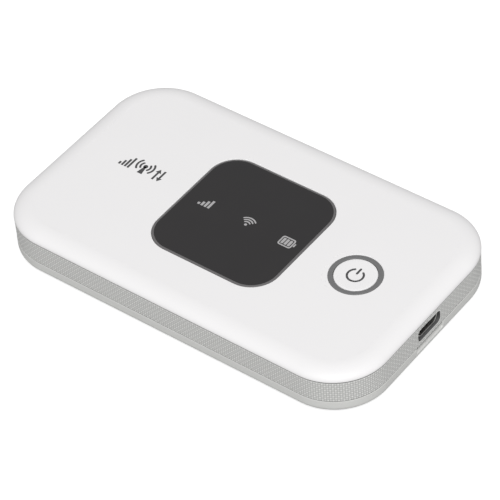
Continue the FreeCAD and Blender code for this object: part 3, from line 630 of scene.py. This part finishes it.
from_middle = abs(along - pack_middle[0])
label = (from_middle < LABEL_HALF_LENGTH) * (abs(across) < LABEL_HALF_WIDTH) * (up < LABEL_LEVEL)
blank = from_middle < LABEL_HALF_LENGTH - LABEL_LINE
blank *= abs(across) < LABEL_HALF_WIDTH - LABEL_LINE
frame_line = label * (1 - blank)
stripe = label * (across > STRIPE_LOW) * (across < STRIPE_HIGH) * (from_middle < STRIPE_HALF_LENGTH)
film_seam = (abs(across - FILM_SEAM) < FILM_SEAM_HALF_WIDTH) * (up > FILM_SEAM_LEVEL)
film.set(
    Base_Color=film.mix(
        frame_line + stripe + film_seam,
        film.mix(crinkle, (0.19, 0.2, 0.21), (0.24, 0.25, 0.26)), (0.62, 0.63, 0.64),
    ),
    Roughness=0.28 + 0.2 * crinkle,
    Normal=film.bump(crinkle, 0.06, 0.5),
)
battery = pack.make("battery_pack", "battery", "battery_wrap", film)
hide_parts("battery_cell")

black_plastic = moulded(
    "connector_black", (0.03, 0.03, 0.031), (0.019, 0.019, 0.02), 0.42, 0.25, 0.006, 5,
)


def plated(name, tone, gloss, stretch=(1.0, 8.0, 1.0), depth_mm=0.003):
    """Rolled and plated sheet: faint streaks one way, a bloom of uneven gloss over them."""
    sheet = Finish(name, Metallic=1.0)
    streak = sheet.noise(0.09, detail=2.0, stretch=stretch)
    bloom = sheet.noise(2.5)
    darker = tuple(0.82 * part for part in tone)
    return sheet.set(
        Base_Color=sheet.mix(bloom, darker, tone),
        Roughness=gloss + 0.12 * streak + 0.1 * (bloom - 0.5),
        Normal=sheet.bump(streak, depth_mm, 0.6),
    )


gold_plate = plated("gold_plate", (0.95, 0.7, 0.32), 0.2, (1.0, 1.0, 6.0))
dress("battery_cap", black_plastic)
dress("battery_pads", gold_plate)


# ------------------------------------------------------------ battery connector
# A black block soldered to the underside of the board. Three bent gold leaves in it press
# on the battery's pads.
dress("battery_connector", black_plastic)
dress("battery_springs", gold_plate)


# ------------------------------------------------------------ circuit board
# One glass-epoxy board with a glossy green mask over copper tracks that run in bundles, with
# gold rings where they change layer, each round a dot of painted shade for its hole. Its sawn edge
# shows the pale fibre.
TRACK_PITCH, TRACK_WIDTH, BUNDLE, HOLE_PITCH = 0.62, 0.3, 5.0, 2.1
HOLE_RADIUS, HOLE_RING, MASK_DEPTH = 0.1, 0.22, 0.04
board_low, board_high = box_mm("main_board")
mask = Finish("solder_mask", Specular_IOR_Level=0.5, Coat_Weight=0.2, Coat_Roughness=0.15)
along, across, up = mask.axes()
bundles = mask.add(
    "ShaderNodeTexVoronoi", {"distance": "MANHATTAN"},
    {"Vector": mask.place(), "Scale": 1 / (BUNDLE * MM), "Randomness": 0.9}, output="Color",
)
heading = mask.add("ShaderNodeSeparateColor", {}, {0: bundles}, output=0)
tracks_along = (across % TRACK_PITCH) < TRACK_WIDTH
tracks_across = (along % TRACK_PITCH) < TRACK_WIDTH
runs_along = heading > 0.5
track = runs_along * tracks_along + (1 - runs_along) * tracks_across * (heading > 0.2)
hole = mask.add(
    "ShaderNodeTexVoronoi", {},
    {"Vector": mask.place(), "Scale": 1 / (HOLE_PITCH * MM), "Randomness": 0.8},
    output="Distance",
) * HOLE_PITCH
via_ring = (hole < HOLE_RING) * (hole > HOLE_RADIUS)
sawn = (up > board_low.z + MASK_DEPTH) * (up < board_high.z - MASK_DEPTH)
fibre_end = mask.mix(mask.noise(0.3), (0.3, 0.28, 0.12), (0.42, 0.38, 0.2))
green = mask.mix(track, (0.006, 0.075, 0.03), (0.014, 0.13, 0.05))
green = mask.mix(via_ring, green, (0.6, 0.42, 0.15))
# Painted shade: a near-black dot inside each ring stands in for the open hole.
green = mask.mix(hole < HOLE_RADIUS, green, (0.01, 0.01, 0.008))
mask.set(
    Base_Color=mask.mix(sawn, green, fibre_end),
    Roughness=0.24 + 0.3 * sawn + 0.05 * mask.noise(1.5),
    Normal=mask.bump(track + via_ring, 0.035, 0.8),
)
dress("main_board", mask)


# ------------------------------------------------------------ screening cans and chips
# Drawn tin-plated cans are soldered over the modem, radio and wireless chips. Each chip is a
# black epoxy moulding with a small round mark by its first pin.
PIN_MARK, PIN_INSET = 0.28, 0.85
tinned = plated("tinned_steel", (0.66, 0.66, 0.64), 0.26)
for can in ("modem_can", "radio_can", "wifi_can"):
    dress(can, tinned)
for chip in ("modem_chip", "memory_chip", "radio_chip", "amplifier_chip", "wifi_chip", "power_chip"):
    chip_low, chip_high = box_mm(chip)
    epoxy = Finish(f"{chip}_epoxy", Specular_IOR_Level=0.35)
    along, across, up = epoxy.axes()
    off_x, off_y = along - (chip_low.x + PIN_INSET), across - (chip_high.y - PIN_INSET)
    pin_mark = (off_x * off_x + off_y * off_y < PIN_MARK ** 2) * (up > chip_high.z - 0.01)
    speck = epoxy.noise(0.14, detail=4.0)
    epoxy.set(
        Base_Color=epoxy.mix(
            pin_mark, epoxy.mix(speck, (0.018, 0.018, 0.019), (0.034, 0.034, 0.036)),
            (0.2, 0.2, 0.2),
        ),
        Roughness=0.5 + 0.12 * speck,
        Normal=epoxy.bump(speck - pin_mark, 0.012, 0.7),
    )
    dress(chip, epoxy)
ferrite = moulded("ferrite_grey", (0.11, 0.11, 0.115), (0.06, 0.06, 0.064), 0.55, 0.2, 0.02, 0.6)
dress("power_inductor", ferrite)


# ------------------------------------------------------------ small board parts
# Rows of chip resistors and capacitors: a tan ceramic body between two tinned ends, each
# held by a little solder.
END_CAP, END_PROUD, PART_ROUND = 0.24, 0.012, 0.04


def islands(node):
    """The lowest and highest corners of every separate solid in a CAD node, in millimetres."""
    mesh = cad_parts[node].data
    spots = [tuple(round(part / MM, 3) for part in vert.co) for vert in mesh.vertices]
    leader = {spot: spot for spot in spots}

    def lead(spot):
        while leader[spot] != spot:
            spot = leader[spot]
        return spot

    for edge in mesh.edges:
        leader[lead(spots[edge.vertices[0]])] = lead(spots[edge.vertices[1]])
    solids = {}
    for spot in dict.fromkeys(spots):
        solids.setdefault(lead(spot), []).append(spot)
    return sorted(
        (Vector(map(min, zip(*corners))), Vector(map(max, zip(*corners))))
        for corners in solids.values()
    )


def soft_block(skin, low, high, round_off):
    """A block with small round edges all over."""
    half = ((high.x - low.x) / 2, (high.y - low.y) / 2)
    middle = ((high.x + low.x) / 2, (high.y + low.y) / 2)
    skin.block([
        rounded(half[0] - inset, half[1] - inset, round_off * 1.5 - inset, level, middle, 3)
        for inset, level in (
            (round_off, low.z), (0.3 * round_off, low.z + 0.3 * round_off),
            (0.0, low.z + round_off), (0.0, high.z - round_off),
            (0.3 * round_off, high.z - 0.3 * round_off), (round_off, high.z),
        )
    ])


ceramic_bodies, tinned_ends = Skin(), Skin()
for low, high in islands("board_passives"):
    body_low = low + Vector((END_CAP / 2, END_PROUD, 0.0))
    body_high = high - Vector((END_CAP / 2, END_PROUD, END_PROUD))
    soft_block(ceramic_bodies, body_low, body_high, PART_ROUND)
    soft_block(tinned_ends, low, Vector((low.x + END_CAP, high.y, high.z)), PART_ROUND)
    soft_block(tinned_ends, Vector((high.x - END_CAP, low.y, low.z)), high, PART_ROUND)
tan_ceramic = moulded("tan_ceramic", (0.5, 0.37, 0.24), (0.3, 0.2, 0.12), 0.45, 0.1, 0.004, 1.7)
bodies_piece = ceramic_bodies.make("passive_bodies", "housing", "ceramic", tan_ceramic)
tinned_ends.make("passive_ends", "housing", "tinned_steel", tinned)
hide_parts("board_passives")


# ------------------------------------------------------------ USB receptacle
# A folded tin-plated shell with a tapered mouth, set under the board behind its opening in
# the band. A black tongue with five gold contacts stands in it.
SHELL_METAL, SHELL_TAPER, SHELL_ROUND, MOUTH_ROUND = 0.25, 0.9, 0.35, 0.06


def shell_section(inset, x):
    """The shell's outline across the socket, drawn in by an inset, with rounded corners."""
    half = usb_high.y - inset
    low, high, waist = usb_low.z + inset, usb_high.z - inset, port_level
    corners = [
        Vector((half, high)), Vector((-half, high)), Vector((-half, waist)),
        Vector((-half + SHELL_TAPER, low)), Vector((half - SHELL_TAPER, low)),
        Vector((half, waist)),
    ]
    points = []
    for index, corner in enumerate(corners):
        before = (corners[index - 1] - corner).normalized()
        after = (corners[(index + 1) % len(corners)] - corner).normalized()
        reach = max(SHELL_ROUND - inset, 0.1)
        for step in range(7):
            share = step / 6
            bend = corner + before * reach * (1 - share) ** 2 + after * reach * share ** 2
            points.append((x, bend.x, bend.y))
    return points


shell = Skin()
shell_first, shell_last = shell.strips([
    shell_section(0.0, usb_low.x), shell_section(0.0, usb_high.x - MOUTH_ROUND),
    shell_section(MOUTH_ROUND, usb_high.x),
    shell_section(SHELL_METAL - MOUTH_ROUND, usb_high.x),
    shell_section(SHELL_METAL, usb_high.x - MOUTH_ROUND),
    shell_section(SHELL_METAL, usb_low.x + SHELL_METAL),
])
shell.fill(shell_first)
shell.fill(shell_last)
usb_shell = shell.make("usb_shell_folded", "housing", "tinned_steel", tinned)
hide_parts("usb_shell")
dress("usb_tongue", black_plastic)
dress("usb_contacts", gold_plate)


# ------------------------------------------------------------ SIM socket and switches
# A push-in card socket under the board, with a steel shell over a black base and six gold
# contacts. A pin reaches one small tact switch through the deck, and the power button
# presses the other.
dress("sim_shell", tinned)
dress("sim_base", black_plastic)
dress("sim_contacts", gold_plate)
dress("reset_switch_case", tinned)
dress("reset_switch_plunger", black_plastic)
dress("power_switch_case", tinned)
dress("power_switch_plunger", black_plastic)


# ------------------------------------------------------------ icon lights
# Three white-bodied LEDs with an amber phosphor window, each in its own well of a white
# block that stops its light from reaching the next symbol.
block_white = moulded("block_white", (0.8, 0.8, 0.78), (0.74, 0.74, 0.72), 0.5, 0.2, 0.005, 4)
dress("light_shield", block_white)
PHOSPHOR_HALF_WIDTH, PHOSPHOR_DEPTH, LED_ROUND = 0.26, 0.02, 0.06
led_bodies = Skin()
led_high = box_mm("status_leds")[1]
led_body = Finish("led_body", Specular_IOR_Level=0.5)
across, up = led_body.axes()[1:]
phosphor = (up > led_high.z - PHOSPHOR_DEPTH) * (abs(across) < PHOSPHOR_HALF_WIDTH)
led_body.set(
    Base_Color=led_body.mix(
        phosphor, led_body.mix(led_body.noise(0.5), (0.8, 0.8, 0.78), (0.86, 0.86, 0.84)),
        (0.85, 0.6, 0.12),
    ),
    Roughness=0.35 - 0.15 * phosphor,
)
for low, high in islands("status_leds"):
    soft_block(led_bodies, low, high, LED_ROUND)
leds = led_bodies.make("led_set", "housing", "led", led_body)
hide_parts("status_leds")


# ------------------------------------------------------------ antennas
# Copper patterns in thin amber film, stuck under the cover's ceiling: one long one for the
# modem and two short ones. Gold spring fingers on the board feed them.
SLIT_PITCH, SLIT_WIDTH, SLIT_PLACE, SLIT_REACH = 2.6, 0.5, 42.0, 2.9
flex = Finish("antenna_film", Coat_Weight=0.3, Coat_Roughness=0.2)
along, across = flex.axes()[:2]
at_slits = abs(abs(along) - SLIT_PLACE) < SLIT_REACH
copper = 1 - ((across % SLIT_PITCH) < SLIT_WIDTH) * at_slits
film_mark = flex.noise(0.4)
flex.set(
    Base_Color=flex.mix(
        copper, flex.mix(film_mark, (0.12, 0.05, 0.012), (0.17, 0.075, 0.02)),
        (0.46, 0.22, 0.07),
    ),
    Roughness=0.32 + 0.1 * film_mark,
    Normal=flex.bump(copper, 0.02, 0.7),
)
for antenna in ("main_antenna", "diversity_antenna", "wifi_antenna"):
    dress(antenna, flex)
dress("antenna_springs", gold_plate)


# ------------------------------------------------------------ screws
# Small steel screws with cross recesses, plated dark: four hold the deck up to the cover's
# bosses and four hold the board to its posts.
screw_plate = plated("screw_plate", (0.34, 0.34, 0.35), 0.3, (1.0, 1.0, 1.0))
dress("housing_screws", screw_plate)
dress("board_screws", screw_plate)


# ------------------------------------------------------------ top cover
# A white moulded lid with a soft upper edge. A tongue locates it in the band, bosses and
# posts hang from its ceiling for the screws, and the window and button have sunk seats.
LID_EDGE_RUN, LID_EDGE_DROP = 4.6, 2.0
LID_SEAM_ROUND = 0.08
TONGUE_OUTER, TONGUE_INNER, TONGUE_FOOT, TONGUE_ROUND = 1.6, 2.4, 9.0, 0.1
CEILING, RECESS_FLOOR, BACKING_LEVEL, SEAT_LEVEL = 10.8, 10.9, 10.0, 11.4
RIM_ROUND = 0.14
HANGER_CHAMFER = 0.08
WINDOW_GAP, WINDOW_CORNER = 0.1, 6.8
BACKING = 2.0
SLOT_HALF_LENGTH, SLOT_HALF_WIDTH, SLOT_ROUND, SLOT_MIDDLE = 15.6, 3.1, 0.15, 0.7
SEAT_GAP, BORE_RADIUS = 0.03, 5.3
BOSS_PLACE, BOSS_RADIUS, BOSS_PILOT, BOSS_PILOT_DEPTH = (41.5, 21.5), 2.2, 0.8, 3.24
POST_PLACE, POST_RADIUS, POST_PILOT, POST_PILOT_DEPTH = (22.0, 23.2), 1.7, 0.62, 1.24
lid_low, lid_high = box_mm("top_cover")
lens_low, lens_high = box_mm("display_window")
bezel_low, bezel_high = box_mm("button_bezel")
TOP = lid_high.z
window_half = lens_high.x
seat_radius = (bezel_high.x - bezel_low.x) / 2 + SEAT_GAP
button_middle = ((bezel_low.x + bezel_high.x) / 2, (bezel_low.y + bezel_high.y) / 2)


def ring(radius, level, middle, steps=64):
    turns = [2 * math.pi * step / steps for step in range(steps)]
    return [
        (middle[0] + radius * math.cos(turn), middle[1] + radius * math.sin(turn), level)
        for turn in turns
    ]


lid = Skin()
lid_rows = [
    (TONGUE_INNER, CEILING), (TONGUE_INNER, TONGUE_FOOT + TONGUE_ROUND),
    (TONGUE_INNER - TONGUE_ROUND, TONGUE_FOOT), (TONGUE_OUTER + TONGUE_ROUND, TONGUE_FOOT),
    (TONGUE_OUTER, TONGUE_FOOT + TONGUE_ROUND), (TONGUE_OUTER, LID_SEAM),
    (LID_SEAM_ROUND, LID_SEAM), (0.3 * LID_SEAM_ROUND, LID_SEAM + 0.3 * LID_SEAM_ROUND),
]
lid_rows += [
    (inset, TOP - drop) for inset, drop in quarter(LID_EDGE_RUN, LID_EDGE_DROP, 14)[::-1]
]
ceiling_edge, top_edge = lid.strips([plan(inset, level) for inset, level in lid_rows])

hole_half, hole_corner = window_half + WINDOW_GAP, WINDOW_CORNER + WINDOW_GAP
rim_edge = quarter(RIM_ROUND, RIM_ROUND, 3)
window_rows = [
    rounded(hole_half + run, hole_half + run, hole_corner + run, TOP - drop, steps=12)
    for run, drop in rim_edge
]
window_rows.append(rounded(hole_half, hole_half, hole_corner, RECESS_FLOOR, steps=12))
window_rim, window_floor = lid.strips(window_rows)
slot_top, slot_bottom = lid.strips([
    rounded(SLOT_HALF_LENGTH, SLOT_HALF_WIDTH, SLOT_ROUND, level, (SLOT_MIDDLE, 0.0), 3)
    for level in (RECESS_FLOOR, BACKING_LEVEL)
])
backing_bottom, backing_top = lid.strips([
    rounded(
        window_half + BACKING, window_half + BACKING, WINDOW_CORNER + BACKING, level, steps=12,
    )
    for level in (BACKING_LEVEL, CEILING)
])
lid.fill(window_floor, slot_top)
lid.fill(backing_bottom, slot_bottom)
seat_rim, bore_foot = lid.strips(
    [ring(seat_radius + run, TOP - drop, button_middle) for run, drop in rim_edge]
    + [ring(seat_radius, SEAT_LEVEL, button_middle), ring(BORE_RADIUS, SEAT_LEVEL, button_middle),
       ring(BORE_RADIUS, CEILING, button_middle)]
)
lid.fill(top_edge, window_rim, seat_rim)
hangers = []
for place, radius, pilot, depth, foot in (
    (BOSS_PLACE, BOSS_RADIUS, BOSS_PILOT, BOSS_PILOT_DEPTH, lid_low.z),
    (POST_PLACE, POST_RADIUS, POST_PILOT, POST_PILOT_DEPTH, board_high.z),
):
    for east, north in ((1, 1), (-1, 1), (-1, -1), (1, -1)):
        middle = (east * place[0], north * place[1])
        head, blind_end = lid.strips([
            ring(radius, CEILING, middle, 32), ring(radius, foot + HANGER_CHAMFER, middle, 32),
            ring(radius - HANGER_CHAMFER, foot, middle, 32), ring(pilot, foot, middle, 32),
            ring(pilot, foot + depth, middle, 32),
        ])
        lid.fill(blind_end)
        hangers.append(head)
lid.fill(ceiling_edge, backing_top, bore_foot, *hangers)
lid_white = moulded("lid_white", (0.848, 0.838, 0.842), (0.834, 0.825, 0.829), 0.42, shine=0.28)
top_cover = lid.make("top_cover_shell", "housing", "white_shell", lid_white)
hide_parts("top_cover")


# ------------------------------------------------------------ display window
# One flat smoked acrylic lens, polished, set flush in its recess on a frame of black tape.
# Light from the LEDs under it would show through the three pale printed symbols.
LENS_EDGE_RUN, LENS_EDGE_DROP, LENS_FOOT_ROUND = 0.7, 0.16, 0.05
EDGE_BEGINS = 0.008
smoked = Finish("smoked_acrylic", IOR=1.49, Specular_IOR_Level=0.5)
haze = smoked.noise(8)
# Painted highlight: the rounded rim is coloured pale grey where it would catch the light. The rim is
# also rougher.
rim_highlight = smoked.axes()[2] < TOP - EDGE_BEGINS
smoked.set(
    Base_Color=smoked.mix(
        rim_highlight, smoked.mix(haze, (0.0225, 0.0212, 0.0222), (0.0255, 0.024, 0.025)),
        (0.135, 0.13, 0.132),
    ),
    Roughness=0.05 + 0.03 * haze + 0.3 * rim_highlight,
)
lens = Skin()
lens_side = [(LENS_FOOT_ROUND, lens_low.z), (0.0, lens_low.z + LENS_FOOT_ROUND)]
lens_side += [
    (inset, TOP - drop) for inset, drop in quarter(LENS_EDGE_RUN, LENS_EDGE_DROP, 8)[::-1]
]
lens.block([
    rounded(window_half - inset, window_half - inset, WINDOW_CORNER - inset, level, steps=12)
    for inset, level in lens_side
])
window = lens.make("window_lens", "housing", "smoked_lens", smoked)
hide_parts("display_window")

tape_black = moulded("tape_black", (0.02, 0.02, 0.02), (0.014, 0.014, 0.014), 0.6, 0.3, 0.01)
dress("window_tape", tape_black)


# ------------------------------------------------------------ window symbols
# Three pale symbols screen-printed on the lens: how strong the signal is, that the wireless
# network is on, and how full the battery is. The ink stands a hundredth or two proud.
INK = 0.015
SYMBOL_PITCH = 11.3
WIRELESS_STROKE = 0.34


def printed(name, slot, finish, outlines, level, body="housing", sunk=0.0):
    """Ink laid on a level surface: each outline is a list of loops, the first around the rest."""
    ink = Skin()
    for loops in outlines:
        feet = [ink.loop([(x, y, level - sunk) for x, y in loop]) for loop in loops]
        tops = [ink.loop([(x, y, level + INK) for x, y in loop]) for loop in loops]
        for one, other in zip(feet, tops):
            ink.strip(one, other)
        ink.fill(*feet)
        ink.fill(*tops)
    return ink.make(name, body, slot, finish)


def bar(low_x, low_y, high_x, high_y, corner=0.08):
    """A rectangle with small round corners."""
    half = ((high_x - low_x) / 2, (high_y - low_y) / 2)
    middle = ((low_x + high_x) / 2, (low_y + high_y) / 2)
    loop = rounded(*half, min(corner, *half), 0.0, middle, 4)
    return [(x, y) for x, y, level in loop]


def disc(middle, radius):
    return [(x, y) for x, y, level in ring(radius, 0.0, middle, 28)]


def arc(middle, radius, width, first, last, steps=20):
    """A stroke along part of a circle, with round ends. Angles are in degrees."""
    points = []
    for edge, start, end, round_from in (
        (width / 2, first, last, 0.0), (-width / 2, last, first, math.pi),
    ):
        for step in range(steps + 1):
            turn = math.radians(start + (end - start) * step / steps)
            reach = radius + edge
            points.append((
                middle[0] + reach * math.cos(turn), middle[1] + reach * math.sin(turn),
            ))
        hub = math.radians(end)
        centre = (middle[0] + radius * math.cos(hub), middle[1] + radius * math.sin(hub))
        for step in range(1, 6):
            turn = hub + round_from + math.pi * step / 6
            points.append((
                centre[0] + width / 2 * math.cos(turn), centre[1] + width / 2 * math.sin(turn),
            ))
    return points


def rising_bars(low_x, low_y, width, height, count):
    """Signal bars that rise towards +X."""
    pitch = width / count
    return [
        [bar(
            low_x + pitch * step, low_y, low_x + pitch * (step + 0.66),
            low_y + height * (step + 1) / count,
        )]
        for step in range(count)
    ]


pale_ink = moulded("pale_ink", (0.47, 0.46, 0.465), (0.36, 0.355, 0.36), 0.5, 0.1, 0.003, 0.5)
signal_x, wireless_x, battery_x = (SLOT_MIDDLE + SYMBOL_PITCH * step for step in (-1, 0, 1))
printed(
    "signal_symbol", "white_shell", pale_ink, rising_bars(signal_x - 1.75, -1.0, 3.6, 2.6, 4), TOP,
)
wireless_foot = (wireless_x + 0.2, -0.55)
printed(
    "wireless_symbol", "white_shell", pale_ink,
    [[disc(wireless_foot, WIRELESS_STROKE)]]
    + [[arc(wireless_foot, radius, WIRELESS_STROKE, 45, 135)] for radius in (0.95, 1.6, 2.25)],
    TOP,
)
printed(
    "battery_symbol", "white_shell", pale_ink,
    [
        [bar(battery_x - 1.95, -1.5, battery_x + 1.6, 1.45, 0.6),
         bar(battery_x - 1.6, -1.15, battery_x + 1.25, 1.1, 0.3)],
        [bar(battery_x + 1.72, -0.55, battery_x + 2.1, 0.5, 0.14)],
    ] + [
        [bar(battery_x - 1.38 + 0.87 * step, -0.92, battery_x - 0.72 + 0.87 * step, 0.87, 0.12)]
        for step in range(3)
    ],
    TOP,
)


# ------------------------------------------------------------ cover print
# A dark grey mark pad-printed on the cover to the left of the window: signal bars, an aerial
# with its waves, and the two arrows of traffic up and down.
PRINT_MIDDLE = (-29.6, 1.55)
PRINT_BELOW, PRINT_ABOVE = 1.9, 1.7
ARROW_SHAFT, ARROW_WING, ARROW_HEAD = 0.26, 0.74, 1.15
dark_ink = moulded("dark_ink", (0.085, 0.084, 0.086), (0.06, 0.06, 0.062), 0.5, 0.12, 0.003, 0.6)
print_x, print_y = PRINT_MIDDLE
print_foot, print_top = print_y - PRINT_BELOW, print_y + PRINT_ABOVE


def arrow(middle_x, foot_y, tip_y):
    """An upright arrow from its foot to its tip."""
    way = math.copysign(1.0, tip_y - foot_y)
    neck = tip_y - ARROW_HEAD * way
    return [
        (middle_x - ARROW_SHAFT, foot_y), (middle_x + ARROW_SHAFT, foot_y),
        (middle_x + ARROW_SHAFT, neck), (middle_x + ARROW_WING, neck), (middle_x, tip_y),
        (middle_x - ARROW_WING, neck), (middle_x - ARROW_SHAFT, neck),
    ]


aerial = (print_x + 0.2, print_y + 0.6)
waves = [
    [arc(aerial, radius, 0.5, side - 40, side + 40)]
    for radius in (1.25, 2.2) for side in (0, 180)
]
mast = [
    (aerial[0] - 0.24, aerial[1]), (aerial[0] + 0.24, aerial[1]),
    (aerial[0] + 0.7, print_foot), (aerial[0] - 0.7, print_foot),
]
printed(
    "cover_mark", "trim_ring", dark_ink,
    rising_bars(print_x - 5.95, print_foot, 3.3, 3.6, 4)
    + [[disc(aerial, 0.58)]] + waves + [[mast]]
    + [[arrow(print_x + 3.85, print_foot, print_top)],
       [arrow(print_x + 5.15, print_top, print_foot)]],
    TOP,
)


# ------------------------------------------------------------ button trim ring
# A dark grey satin ring pressed into its seat in the cover. It stays still, and the button
# moves inside it.
RING_INNER, RING_ROUND, RING_FOOT = 5.0, 0.1, 0.05
ring_outer = bezel_high.x - button_middle[0]
ring_grey = Finish("ring_grey", Metallic=0.25, Specular_IOR_Level=0.5)
turned = ring_grey.noise(0.35, detail=2.0)
ring_grey.set(
    Base_Color=ring_grey.mix(turned, (0.17, 0.17, 0.172), (0.22, 0.22, 0.222)),
    Roughness=0.34 + 0.1 * turned,
    Normal=ring_grey.bump(turned, 0.004, 0.5),
)
trim = Skin()
trim_edge = quarter(RING_ROUND, RING_ROUND, 3)
trim_rows = [(RING_INNER + RING_FOOT, bezel_low.z), (ring_outer - RING_FOOT, bezel_low.z)]
trim_rows += [(ring_outer - run, TOP - drop) for run, drop in trim_edge[::-1]]
trim_rows += [(RING_INNER + run, TOP - drop) for run, drop in trim_edge]
first, last = trim.strips([ring(radius, level, button_middle, 96) for radius, level in trim_rows])
trim.strip(last, first)
trim_ring = trim.make("trim_ring", "housing", "trim_ring", ring_grey)
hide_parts("button_bezel")


# ------------------------------------------------------------ power button
# A white cap with a shallow dish for the finger. Its flange is held up under the cover, and
# the nub on its underside presses the switch on the board.
DISH = 0.09
CAP_ROUND = 0.14
CAP_RADIUS, FLANGE_RADIUS, NUB_RADIUS = 4.87, 6.05, 1.2
FLANGE_LOW, FLANGE_HIGH = 10.24, 10.74
NUB_CHAMFER, FLANGE_CHAMFER = 0.1, 0.08
cap_low = box_mm("power_button")[0]
cap_rows = [
    (NUB_RADIUS - NUB_CHAMFER, cap_low.z), (NUB_RADIUS, cap_low.z + NUB_CHAMFER),
    (NUB_RADIUS, FLANGE_LOW), (FLANGE_RADIUS - FLANGE_CHAMFER, FLANGE_LOW),
    (FLANGE_RADIUS, FLANGE_LOW + FLANGE_CHAMFER), (FLANGE_RADIUS, FLANGE_HIGH - FLANGE_CHAMFER),
    (FLANGE_RADIUS - FLANGE_CHAMFER, FLANGE_HIGH), (CAP_RADIUS, FLANGE_HIGH),
]
cap_rows += [(CAP_RADIUS - run, TOP - drop) for run, drop in quarter(CAP_ROUND, CAP_ROUND, 3)[::-1]]
cap_flat = CAP_RADIUS - CAP_ROUND
cap_rows += [
    (cap_flat * share, TOP - DISH * (1 + math.cos(math.pi * share)) / 2)
    for share in (0.9, 0.8, 0.7, 0.6, 0.5, 0.4, 0.3, 0.2, 0.1)
]
cap = Skin()
cap.block([ring(radius, level, button_middle, 96) for radius, level in cap_rows])
button = cap.make("power_cap", "button", "white_shell", lid_white)
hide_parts("power_button")
symbol_middle = (button_middle[0], button_middle[1] - 0.15)
printed(
    "power_symbol", "trim_ring", dark_ink,
    [[arc(symbol_middle, 1.85, 0.5, 125, 415, steps=48)],
     [bar(symbol_middle[0] - 0.25, symbol_middle[1] + 0.4, symbol_middle[0] + 0.25,
          symbol_middle[1] + 2.45, 0.24)]],
    TOP - 0.7 * DISH, body="button", sunk=0.3 * DISH,
)
